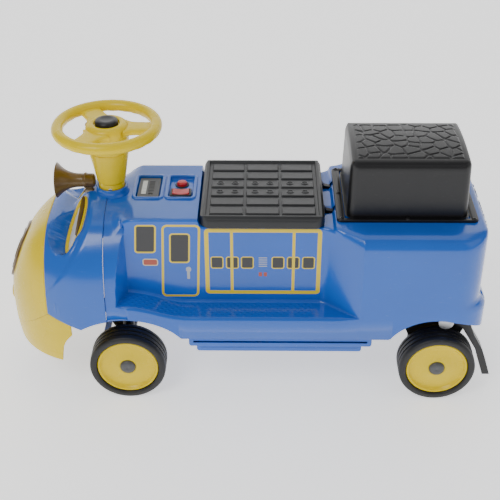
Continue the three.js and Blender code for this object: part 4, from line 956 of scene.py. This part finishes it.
# ------------------------------------------------------------------ wheels
def wheel(which, side, body):
    """Tyre, disc and hub cap of one wheel, each a profile turned about the axle."""
    tyre = which + "_tyre_" + side
    low, high = span(tyre)
    sign = 1 if side == "left" else -1
    centre = ((low[0] + high[0]) / 2, 0, WHEEL_R)
    outer = max(abs(low[1]), abs(high[1]))
    inner = min(abs(low[1]), abs(high[1]))
    rim = 57.4

    def turned(points):
        return lathe([(r, sign * y) for r, y in points], "y", centre, 96)

    crown = [(rim - 5, inner + 1), (rim, inner), (rim + 8, inner), (69, inner + 1.6),
             (70.6, inner + 4)]
    for k in (0.27, 0.5, 0.73):
        y = inner + (outer - inner) * k
        crown += [(71, y - 3.2), (71, y - 2.0), (68.2, y - 1.4), (68.2, y + 1.4), (71, y + 2.0),
                  (71, y + 3.2)]
    crown += [(70.6, outer - 4), (69.2, outer - 1.4), (66.8, outer - 0.2), (62, outer),
              (59, outer - 0.6), (rim + 0.3, outer - 2.6), (rim, outer - 8), (rim - 5, inner + 1)]
    Shape().add(turned(crown), wrap_columns=True).make(
        tyre + "_skin", body, "tyre_black", [tyre], recalc=True, smooth_angle=50)
    face = outer - 3
    disc = [(5.4, face - 12), (5.4, face - 4.6), (13, face - 4.2), (15.4, face - 2.6),
            (17.5, face - 2.4),
            (24, face - 5), (40, face - 7.4), (47, face - 7.2), (50.5, face - 5.4), (52, face - 2),
            (53.2, face - 0.5), (55.2, face), (56.6, face - 0.9), (57.0, face - 3),
            (57.0, inner + 6),
            (54.0, inner + 6), (53, face - 10), (20, face - 12), (5.4, face - 12)]
    Shape().add(turned(disc), wrap_columns=True).make(
        which + "_disc_skin_" + side, body, "trim_yellow", [which + "_disc_" + side], recalc=True,
        smooth_angle=50)
    cap_high = span(which + "_hub_cap_" + side)
    tip = max(abs(cap_high[0][1]), abs(cap_high[1][1]))
    cap = [(0.01, tip - 0.6), (2.2, tip - 0.6), (3.0, tip), (8, tip - 0.3), (11, tip - 1.1),
           (13.4, tip - 2.6),
           (14.5, tip - 5), (14.5, tip - 7), (6.5, tip - 7)]
    Shape().add(turned(cap), wrap_columns=True).make(
        which + "_cap_skin_" + side, body, "cap_grey", [which + "_hub_cap_" + side], recalc=True,
        smooth_angle=50)


# ------------------------------------------------------------------ seat and tender box
def seat_lid():
    """Seat: a height field of lapped panels, three along and six across, with a rounded rim.

    The two middle rows carry a pair of ring bosses on each panel.
    """
    half = (SEAT_HIGH - SEAT_LOW)[:2] / 2
    half[0] = (SEAT_HIGH[0] + 134.0) / 2
    centre = np.array([SEAT_HIGH[0] - half[0], 0.0])
    top = SEAT_HIGH[2] + 0.4
    drops = [0.8, 2.2, 4.0, 7.0, 17.5]
    x, y, fall, keep = sheet_grid(half[0] + 0.7, half[1] + 0.7, 17, 0.85, drops)
    edge = np.minimum(half[0] - np.abs(x), half[1] - np.abs(y))
    rim = smooth_step(-0.7, 4.5, edge) - smooth_step(7.5, 10.5, edge)
    inner_x, inner_y = half[0] - 13, half[1] - 13
    along = (x + inner_x) / (2 * inner_x) * 3
    across = (inner_y - y) / (2 * inner_y) * 6
    in_field = smooth_step(11.5, 13, edge)
    cell_u = (along - np.floor(along) - 0.5) * (2 * inner_x / 3)
    cell_v = (across - np.floor(across)) * (2 * inner_y / 6)
    wide = inner_x / 3 - 2.0
    long = inner_y / 3
    inside = smooth_step(0, 1.6, wide - np.abs(cell_u))
    inside = inside * smooth_step(1.2, 2.8, cell_v) * smooth_step(0.0, 1.8, long - 0.8 - cell_v)
    lap = 0.8 + 2.2 * (1 - cell_v / long)
    row = np.floor(across)
    ring_r = np.hypot(np.abs(cell_u) - 13.5, cell_v - long * 0.52)
    ring = np.exp(-((ring_r - 5.2) / 1.1) ** 2) * 1.5 + np.exp(-(ring_r / 2.4) ** 4) * 1.0
    ring = ring * ((row == 2) | (row == 3))
    height = top + 3.4 * rim + in_field * inside * (lap + ring) - fall
    out = 1.2 * smooth_step(0.0, 6.0, fall)
    grid = np.stack([x + centre[0], y, height], axis=-1)
    grid[..., 1] += np.sign(y) * out * (np.abs(y) >= half[1] - 17)
    Shape().add(grid, keep=lambda c: keep.ravel()).make(
        "seat_skin", "seat", "seat_black", recalc=True, weld=0.01,
        smooth_angle=45)


def cracked(x, y, pitch, width):
    """Depth of a cracked-stone pattern: 0 on a stone and 1 in the gap between two.

    Stones are the cells nearest to seeded points on a jittered lattice; the gap is where the
    distances to the nearest two points are almost equal.
    """
    rng = np.random.default_rng(7)
    gx, gy = np.meshgrid(np.arange(-150, 151, pitch), np.arange(-130, 131, pitch * 0.9),
                         indexing="ij")
    seeds = np.stack([gx, gy], axis=-1) + rng.uniform(-0.42, 0.42, (*gx.shape, 2)) * pitch
    seeds = seeds.reshape(-1, 2)
    distance = np.hypot(x[..., None] - seeds[:, 0], y[..., None] - seeds[:, 1])
    nearest = np.partition(distance, 1, axis=-1)
    gap = nearest[..., 1] - nearest[..., 0]
    return 1 - smooth_step(width * 0.4, width * 1.6, gap)


def tender_box():
    """Black box with tapered sides and a crowned, cracked-stone top, on a ribbed flange."""
    centre = (BOX_LOW + BOX_HIGH) / 2
    top = BOX_HIGH[2]
    base_z = BOX_LOW[2] + 4
    drops = np.concatenate([[1.0, 3.0, 6.5], np.linspace(12, top - base_z - 3, 22),
                            [top - base_z - 1.2, top - base_z + 0.2]])
    x, y, fall, keep = sheet_grid(102, 78, 13, 1.1, drops)
    edge = np.minimum(102 - np.abs(x), 78 - np.abs(y))
    field = smooth_step(9, 11, edge)
    crown = 9 * (y / 84) ** 2
    relief = 1.6 * field * (1 - cracked(x, y, 24, 2.6)) * smooth_step(11, 14, edge)
    shoulder = 5.5 * (1 - np.sqrt(1 - np.clip(1 - edge / 8, 0, 1) ** 2))
    height = top - 2.0 - crown * 0.75 - shoulder + relief - fall
    height = np.where(fall > drops[-3], np.minimum(height, base_z + drops[-1] - fall), height)
    height = np.maximum(height, base_z)
    down = np.clip(fall / (top - base_z), 0, 1)
    flare = 1.6 * smooth_step(0, 6, fall) + 3.0 * down + 2.4 * smooth_step(drops[-4], drops[-1],
                                                                           fall)
    grow_x = 1 + flare / 102
    grow_y = 1 + (flare + 2.0 * down) / 78
    grid = np.stack([x * grow_x + centre[0], y * grow_y, height], axis=-1)
    box = Shape().add(grid, keep=lambda c: keep.ravel())
    inset = np.array([14.0, 12.0, 10.6, 9.4, 5.0, 1.4, 0.4, 0.0, 0.0])
    level = np.array([4.0, 4.0, 5.0, 5.4, 5.2, 5.4, 5.0, 3.8, -0.2]) + BOX_LOW[2] - 0.6
    half = (BOX_HIGH - BOX_LOW)[:2] / 2
    loops = [rounded_loop(half[0] - i, half[1] - i * 0.62, max(9 - i, 1.5)) + centre[:2]
             for i in inset]
    box.add(stacked(loops, level), wrap_columns=True)
    box.make("tender_box_skin", "body", "box_black", ["tender_box"], "black_plastic",
             recalc=True, weld=0.01, smooth_angle=40)


def flange_screws():
    """Eight recessed-head screws round the box's flange: at its corners and along its sides."""
    centre = (BOX_LOW + BOX_HIGH) / 2
    half = (BOX_HIGH - BOX_LOW)[:2] / 2
    dx, dy = half[0] - 8, half[1] - 5
    z = BOX_LOW[2] + 4.2
    head = [(0.01, z + 0.9), (1.6, z + 0.9), (2.0, z + 2.0), (3.6, z + 1.7), (4.5, z + 0.7),
            (4.5, z)]
    spots = [(i * dx, j * dy) for i in (-1, 1) for j in (-1, 1)]
    spots += [(dx, 0), (-dx, 0), (0, dy), (0, -dy)]
    screws = Shape()
    for sx, sy in spots:
        screws.add(lathe(head, "z", (centre[0] + sx, sy, 0), 24), wrap_columns=True)
    screws.make("flange_screw_heads", "body", "box_black",
                ["flange_screw_" + str(i) for i in (1, 2, 3, 4)], "black_plastic", recalc=True)


# ------------------------------------------------------------------ steering wheel, column and horn
def steering_wheel():
    """Yellow wheel: a torus rim with finger waves below, a domed hub and three swelling spokes."""
    rim_z = 495.0
    outer = (RIM_HIGH[1] - RIM_LOW[1]) / 2
    tube_r = 10.4
    major = outer - tube_r
    turn = np.linspace(0, 2 * np.pi, 160, endpoint=False)[:, None]
    round_ = np.linspace(0, 2 * np.pi, 28, endpoint=False)[None, :]
    wave = 0.35 * np.cos(turn * 24) * np.clip(-np.sin(round_), 0, 1)
    r = major + (tube_r + wave) * np.cos(round_)
    z = rim_z + (tube_r + wave) * np.sin(round_)
    wheel = Shape().add(np.stack([COLUMN_X + r * np.cos(turn), r * np.sin(turn),
                                  np.broadcast_to(z, r.shape)], axis=-1),
                        wrap_rows=True, wrap_columns=True)
    hub = [(23.0, 499.0), (23.0, 502.0), (24.5, 503.2), (29, 503.0), (33, 501.6), (36.5, 498.6),
           (38, 494),
           (38, 485), (37, 470), (36.2, 456), (36, 452.4), (20, 452.4), (20, 499.0), (23.0, 499.0)]
    wheel.add(lathe(hub, "z", (COLUMN_X, 0, 0), 80), wrap_columns=True)
    for degrees in (60, 180, 300):
        s = np.linspace(31, major + 1, 26)
        u = (s - 31) / (major - 30)
        half_wide = 17 + 9 * (2 * u - 1) ** 4 + 3 * (1 - u)
        section = np.linspace(0, 2 * np.pi, 32, endpoint=False)
        a, b = np.cos(section), np.sin(section)
        width = half_wide[:, None] * np.sign(a) * np.abs(a) ** 0.45
        thick = (6.0 * np.sign(b) * np.abs(b) ** 0.55)[None, :]
        lift = 491 + thick + np.zeros_like(width)
        angle = math.radians(degrees)
        x = COLUMN_X + s[:, None] * math.cos(angle) - width * math.sin(angle)
        y = s[:, None] * math.sin(angle) + width * math.cos(angle)
        wheel.add(np.stack([x, y, lift], axis=-1), wrap_columns=True)
    wheel.make("steering_wheel_skin", "steering", "trim_yellow", ["steering_wheel"], recalc=True,
               smooth_angle=50)


def turned_pieces():
    """Horn button, cone, sleeve and collar: profiles turned about the steering column."""
    at = (COLUMN_X, 0, 0)
    low, high = span("horn_button")
    t = high[2]
    button = [(0.01, t - 1.0), (9, t - 0.9), (11, t - 0.3), (13, t - 0.1), (16.5, t - 0.6),
              (19.2, t - 2.0), (20.4, t - 4.2), (20.4, low[2])]
    Shape().add(lathe(button, "z", at, 64), wrap_columns=True).make(
        "horn_button_skin", "horn", "black_plastic", ["horn_button"],
        recalc=True, smooth_angle=45)
    cone = [(20, 452), (35, 452), (36, 451), (35.6, 447), (33.5, 436), (30.5, 420), (28, 405),
            (26.4, 396), (26.2, 393.4), (25.2, 390.4), (20, 390)]
    Shape().add(lathe(cone, "z", at, 80), wrap_columns=True).make(
        "column_cone_skin", "steering", "trim_yellow", ["column_cone"],
        recalc=True, smooth_angle=45)
    sleeve = [(12, 389.6), (21.5, 389.6), (23.3, 388.4), (23.5, 386), (23.5, 380), (23.0, 373),
              (22.4, 371.2), (12, 371)]
    Shape().add(lathe(sleeve, "z", at, 80), wrap_columns=True).make(
        "column_sleeve_skin", "steering", "trim_yellow", ["column_sleeve"],
        recalc=True, smooth_angle=45)
    collar = [(24.2, 378.2), (25.2, 379), (27.4, 378.8), (28.4, 377.4), (28.5, 372), (29.4, 368.4),
              (31.0, 366.6), (31.0, 364.6), (24.2, 364.6)]
    Shape().add(lathe(collar, "z", at, 80), wrap_columns=True).make(
        "column_collar_skin", "body", "body_blue", ["column_collar"],
        recalc=True, smooth_angle=45)


def trumpet():
    """Bronze horn: a flared bell turned about its long axis, open at the mouth, on a foot."""
    mouth, neck = HORN_HIGH[0], HORN_LOW[0] + 24
    radius = (HORN_HIGH[1] - HORN_LOW[1]) / 2
    u = np.linspace(0, 1, 26)
    bell = np.stack([12.5 + (radius - 12.5) * u ** 2.6, neck + (mouth - neck) * u], axis=1)
    inner = bell[::-1] - [2.0, 0]
    inner = inner[inner[:, 1] > neck + 3]
    back = [(0.01, HORN_LOW[0]), (8, HORN_LOW[0] + 0.4), (11.6, HORN_LOW[0] + 2.4),
            (12.5, HORN_LOW[0] + 5),
            (12.5, neck - 9), (14.2, neck - 7.5), (14.2, neck - 4.5), (12.5, neck - 3)]
    lip = [(radius, mouth), (radius + 0.3, mouth + 0.8), (radius - 0.8, mouth + 1.4)]
    profile = np.concatenate([back, bell, lip, inner, [[9.5, neck + 2], [0.01, neck + 1]]])
    horn = Shape().add(lathe(profile, "x", (0, 0, 387), 72), wrap_columns=True)
    height = np.array([366.3, 368.0, 370.5, 376.0, 382.0])
    spread = np.array([1.0, 0.86, 0.62, 0.52, 0.50])
    foot = [rounded_loop(11.5 * s, 9.0 * s, 4 * s) + [289.5, 0] for s in spread]
    horn.add(stacked(foot, height), wrap_columns=True)
    horn.make("trumpet_skin", "body", "horn_bronze", ["trumpet_horn"],
              recalc=True, smooth_angle=50)


# ------------------------------------------------------------------ dash
def dash_fittings():
    """Sound panel with a display strip, slotted grille and knob; rocker switch and push button."""
    low, high = span("sound_panel")
    z = high[2]
    cx, cy = (low[0] + high[0]) / 2, (low[1] + high[1]) / 2
    half = (high - low)[:2] / 2
    x, y, fall, keep = sheet_grid(half[0], half[1], 4, 0.5, [0.5, 1.4, 3.6])
    strip = (smooth_step(-1, 0, 4.0 - np.abs(x - 9)) * smooth_step(-1, 0, 24 - np.abs(y)))
    slots = (smooth_step(0.25, 0.6, np.cos(y * np.pi / 2.6))
             * smooth_step(-0.5, 0.5, 5.0 - np.abs(x + 4)))
    slots = slots * smooth_step(-0.6, 0.4, 19 - np.abs(y + 4))
    knob = smooth_step(-0.6, 0.6, 4.0 - np.hypot(x + 4, y - 24))
    level = z - 0.2 + 0.5 * strip - 1.2 * slots - 1.6 * knob - fall
    Shape().add(np.stack([x + cx, y + cy, level], axis=-1), keep=lambda c: keep.ravel()).make(
        "sound_panel_skin", "body", "panel_print", ["sound_panel"], "cap_grey", recalc=True,
        weld=0.01)
    low, high = span("switch_bezel")
    cx, cy = (low[0] + high[0]) / 2, (low[1] + high[1]) / 2
    half = (high - low)[:2] / 2
    inset = np.array([0.0, 0.0, 0.4, 1.2, 2.6, 3.3, 3.4, 3.4])
    level = np.array([0.2, 4.8, 5.6, 6.0, 6.0, 5.4, 4.6, 1.7]) + low[2]
    loops = [rounded_loop(half[0] - i, half[1] - i, 2.4 - i * 0.4) + [cx, cy] for i in inset]
    Shape().add(stacked(loops, level), wrap_columns=True).make(
        "switch_bezel_skin", "body", "black_plastic", ["switch_bezel"],
        recalc=True)
    low, high = span("rocker_switch")
    top = high[2]
    x, y, fall, keep = sheet_grid(14.9, 8.9, 1.5, 0.5, [0.5, 1.2, 2.6])
    saddle = top - 1.8 + 2.2 * (np.abs(x) / 15) ** 1.4 + 0.4 * smooth_step(
        0.2, 0.7, np.cos(x * np.pi / 1.6)) * (np.abs(x) > 9) * (np.abs(y) < 7)
    Shape().add(np.stack([x + cx, y + cy, saddle - fall], axis=-1),
                keep=lambda c: keep.ravel()).make(
        "rocker_skin", "rocker", "switch_red", recalc=True, weld=0.01)
    low, high = span("push_button")
    py, t = (low[1] + high[1]) / 2, high[2]
    cap = [(0.01, t + 0.2), (5.5, t), (7.6, t - 0.5), (8.8, t - 1.6), (9.3, t - 3.0),
           (9.4, low[2] + 0.4)]
    Shape().add(lathe(cap, "z", (cx, py, 0), 48), wrap_columns=True).make(
        "push_button_skin", "push", "switch_red", ["push_button"], recalc=True)
    ring = [(9.8, 360.2), (10.0, 361.6), (11.0, 362.0), (12.4, 361.6), (13.0, 360.2)]
    Shape().add(lathe(ring, "z", (cx, py, 0), 48), wrap_columns=True).make(
        "push_button_ring", "body", "black_plastic", recalc=True)


def panel_print():
    """Dark grey panel plastic whose raised display strip is pale, told by its height."""
    f = Finish("panel_plastic")
    z = f.axes()[2]
    top = span("sound_panel")[1][2]
    strip = z.step(top + 0.12, top + 0.2)
    mottle = f.noise(120.0, 3.0)
    grey = f.mix(mottle, (0.035, 0.037, 0.04, 1), (0.05, 0.052, 0.056, 1))
    fine = f.noise(1800.0, 2.0)
    return f.set(Base_Color=f.mix(strip, grey, (0.60, 0.62, 0.63, 1)),
                 Roughness=0.38 + (mottle - 0.5) * 0.1 - strip * 0.1,
                 Normal=f.bump(fine * 0.03, 0.5, 1.0))


# ------------------------------------------------------------------ carried over from the frame
NODE_LOOKS = {
    "gear_white": ["axle_gear", "idler_gear"],
    "steel": ["kingpin_left", "kingpin_right", "rear_axle", "seat_hinge_pin", "steering_shaft",
              "tie_rod", "column_screw", "motor", "motor_pinion"],
    "black_plastic": ["rear_frame", "front_axle_beam", "knuckle_left", "knuckle_right",
                      "storage_bin",
                      "gearbox_housing", "battery_tray", "battery", "speaker"],
    "seat_black": ["seat_lid"],
    "switch_red": ["rocker_switch"],
}


def carried_nodes():
    """Gives the frame's own meshes that stay in sight their finish and slot."""
    for look, names in NODE_LOOKS.items():
        for name in names:
            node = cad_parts[name]
            node.data.materials.clear()
            node.data.materials.append(LOOKS[look])


def stage_and_light(options):
    """Pale floor that curves up behind, three soft lamps, a pale sky, and the camera."""
    s = np.linspace(0, 1, 60)
    run = np.where(s < 0.5, 3.6 - s * 13.0,
                   -2.9 - 1.6 * np.sin(np.clip((s - 0.5) / 0.2, 0, 1) * np.pi / 2))
    rise = np.where(s < 0.5, 0, 1.6 * (1 - np.cos(np.clip((s - 0.5) / 0.2, 0, 1) * np.pi / 2)))
    rise = rise + np.clip((s - 0.7) / 0.3, 0, 1) * 4
    across = np.linspace(-6, 6, 12)
    grid = np.stack([np.broadcast_to(across[None], (60, 12)),
                     np.broadcast_to(run[:, None], (60, 12)),
                     np.broadcast_to(rise[:, None], (60, 12))], axis=-1)
    mesh = bpy.data.meshes.new("floor")
    mesh.from_pydata(grid.reshape(-1, 3).tolist(), [], grid_faces(60, 12, flip=True).tolist())
    mesh.shade_smooth()
    look = Finish("studio_paper")
    mesh.materials.append(look.set(Base_Color=(0.97, 0.97, 0.97, 1), Roughness=0.8,
                                   Emission_Color=(1, 1, 1, 1),
                                  Emission_Strength=0.9))
    floor = bpy.data.objects.new("floor", mesh)
    bpy.context.scene.collection.objects.link(floor)
    lights = (("key", (1.3, 1.9, 2.6), 1.5, 40), ("fill", (-2.2, 1.6, 1.8), 2.2, 9),
              ("top", (0.0, -0.6, 2.8), 2.4, 15))
    for name, place, size, power in lights:
        lamp = bpy.data.lights.new(name, "AREA")
        lamp.shape = "SQUARE"
        lamp.size = size
        lamp.energy = power * options.light
        holder = bpy.data.objects.new(name, lamp)
        holder.location = place
        aim = np.array([0.0, 0.0, 0.25]) - np.array(place)
        holder.rotation_euler = (math.atan2(math.hypot(aim[0], aim[1]), -aim[2]), 0,
                                 math.atan2(aim[0], -aim[1]) + math.pi)
        bpy.context.scene.collection.objects.link(holder)
    world = bpy.data.worlds.new("studio")
    world.use_nodes = True
    world.node_tree.nodes["Background"].inputs["Color"].default_value = (1, 1, 1, 1)
    world.node_tree.nodes["Background"].inputs["Strength"].default_value = 0.30
    bpy.context.scene.world = world
    add_camera()


def add_camera():
    """Camera on the train's left, looking 33 degrees down, with a slight long lens."""
    camera = bpy.data.cameras.new("camera")
    camera.lens = 71.46
    camera.sensor_width = 36
    camera.sensor_fit = "HORIZONTAL"
    camera.clip_end = 50
    pitch, yaw, roll = 0.5835, 0.0141, -0.0034
    ahead = np.array([math.sin(yaw) * math.cos(pitch), -math.cos(yaw) * math.cos(pitch),
                      -math.sin(pitch)])
    right = np.cross(ahead, [0, 0, 1.0])
    right /= np.linalg.norm(right)
    up = np.cross(right, ahead)
    turned_right = math.cos(roll) * right + math.sin(roll) * up
    turned_up = -math.sin(roll) * right + math.cos(roll) * up
    holder = bpy.data.objects.new("camera", camera)
    matrix = np.eye(4)
    matrix[:3, 0], matrix[:3, 1], matrix[:3, 2] = turned_right, turned_up, -ahead
    matrix[:3, 3] = (-0.0247, 1.5694, 1.2726)
    holder.matrix_world = Matrix(matrix.tolist())
    bpy.context.scene.collection.objects.link(holder)
    bpy.context.scene.camera = holder


# ------------------------------------------------------------------ add-on
def colour(name, description, value):
    """A colour property with alpha."""
    return bpy.props.FloatVectorProperty(name=name, description=description, default=value, size=4,
                                         subtype="COLOR", min=0.0, max=1.0)


def length(name, description, value):
    """A length property in metres; value is in millimetres."""
    return bpy.props.FloatProperty(name=name, description=description, default=value * MM,
                                   min=0.001, max=1.0, unit="LENGTH", subtype="DISTANCE",
                                   precision=4)


class TrainOptions(bpy.types.PropertyGroup):
    """Sizes, colours and light of the train."""

    wall: length("Wall", "Thickness of the body, nose, mask and bumper skins", 2.6)
    panel: length("Panel", "Half-width of the seat box and the dash", 101.0)
    dash: length("Dash", "Height of the dash above the ground", 365.0)
    board: length("Footboard", "Height of the footboard above the ground", 190.0)
    board_rise: length("Footboard rise", "How far the footboard climbs to the front wheel", 22.0)
    skirt: length("Skirt", "Height of the skirt's lower edge above the ground", 143.0)
    hood: length("Hood", "Height of the hood ahead of the windscreen", 333.0)
    blue: colour("Body", "Colour of the body and nose", (0.006, 0.115, 0.560, 1))
    yellow: colour("Trim", "Colour of the mask, wheels, steering wheel and prints",
                   (0.83, 0.61, 0.0, 1))
    bronze: colour("Horn", "Colour of the horn, roundel and lamp hoods", (0.125, 0.070, 0.010, 1))
    red: colour("Switches", "Colour of the rocker and push button", (0.55, 0.012, 0.018, 1))
    lens: colour("Lamp lens", "Colour of the lamp lenses", (0.80, 0.80, 0.78, 1))
    light: bpy.props.FloatProperty(name="Light", description="Strength of the three soft lamps",
                                   default=1.0, min=0.0, max=10.0)


def operator(name, label, text, work):
    """A Blender operator that runs one build step. Its own errors stop the script."""
    def execute(self, context):
        work()
        return {"FINISHED"}
    return type("TRAIN_OT_" + name, (bpy.types.Operator,), {
        "bl_idname": "train." + name, "bl_label": label, "__doc__": text, "execute": execute})


SIZE_KEYS = ("wall", "panel", "dash", "board", "board_rise", "skirt", "hood")
COLOUR_KEYS = ("blue", "yellow", "bronze", "red", "lens")


def train_options():
    """The values set in the sidebar."""
    return bpy.context.scene.train_options


def all_looks():
    """Takes the sizes from the sidebar, rounded to a micrometre, and makes every finish."""
    for key in SIZE_KEYS:
        SIZE[key] = round(getattr(train_options(), key) / MM, 3)
    make_looks(train_options())
    LOOKS["panel_print"] = panel_print()


def all_wheels():
    """All four wheels; the rear pair rides one body."""
    for which in ("front", "rear"):
        for side in ("left", "right"):
            wheel(which, side, "rear_wheels" if which == "rear" else "front_wheel_" + side)


STEPS = [
    operator("finishes", "Finishes", "Take the sizes and make every procedural finish", all_looks),
    operator("carried", "Carried parts", "Finish the frame's own parts that stay in sight",
             carried_nodes),
    operator("body", "Body", "Build the tub, tender, seat box and footboards", main_body),
    operator("skirt", "Skirt steps", "Build the inset steps under the skirt", skirt_steps),
    operator("pockets", "Dash pockets", "Build the dash pockets' lips and floors", dash_pockets),
    operator("fittings", "Dash fittings", "Build the panel, switches and button", dash_fittings),
    operator("nose", "Nose", "Build the blue nose shell", nose_shell),
    operator("mask", "Mask", "Build the yellow mask", front_mask),
    operator("bumper", "Bumper", "Build the yellow bumper", front_bumper),
    operator("nose_trim", "Roundel and knob", "Build the nose's roundel and knob", nose_trim),
    operator("vents", "Nose vents", "Build the vents on the nose's flanks", nose_vents),
    operator("lamps", "Lamps", "Build the lamp bezels, lenses and hoods", lamps),
    operator("wheels", "Wheels", "Build the tyres, discs and hub caps", all_wheels),
    operator("seat", "Seat", "Build the patterned seat", seat_lid),
    operator("box", "Tender box", "Build the tender box", tender_box),
    operator("screws", "Flange screws", "Build the screws round the tender box", flange_screws),
    operator("steering", "Steering wheel", "Build the steering wheel", steering_wheel),
    operator("column", "Column", "Build the button, cone, sleeve and collar", turned_pieces),
    operator("horn", "Horn", "Build the trumpet horn", trumpet),
    operator("stage", "Stage", "Build the floor, lamps and camera",
             lambda: stage_and_light(train_options())),
]


class TRAIN_PT_panel(bpy.types.Panel):
    """Lists the train's build steps and colours."""

    bl_label = "Ride-on train"
    bl_idname = "TRAIN_PT_panel"
    bl_space_type = "VIEW_3D"
    bl_region_type = "UI"
    bl_category = "Train"

    def draw(self, context):
        for key in (*SIZE_KEYS, *COLOUR_KEYS, "light"):
            self.layout.prop(train_options(), key)
        for step in STEPS:
            self.layout.operator(step.bl_idname)


CLASSES = [TrainOptions, *STEPS, TRAIN_PT_panel]


def register():
    for cls in CLASSES:
        bpy.utils.register_class(cls)
    bpy.types.Scene.train_options = bpy.props.PointerProperty(type=TrainOptions)


def unregister():
    del bpy.types.Scene.train_options
    for cls in reversed(CLASSES):
        bpy.utils.unregister_class(cls)


def main():
    """Registers the add-on, runs its steps in order and writes the two boxes."""
    register()
    for step in STEPS:
        space, name = step.bl_idname.split(".")
        getattr(getattr(bpy.ops, space), name)()


if __name__ == "__main__":
    main()
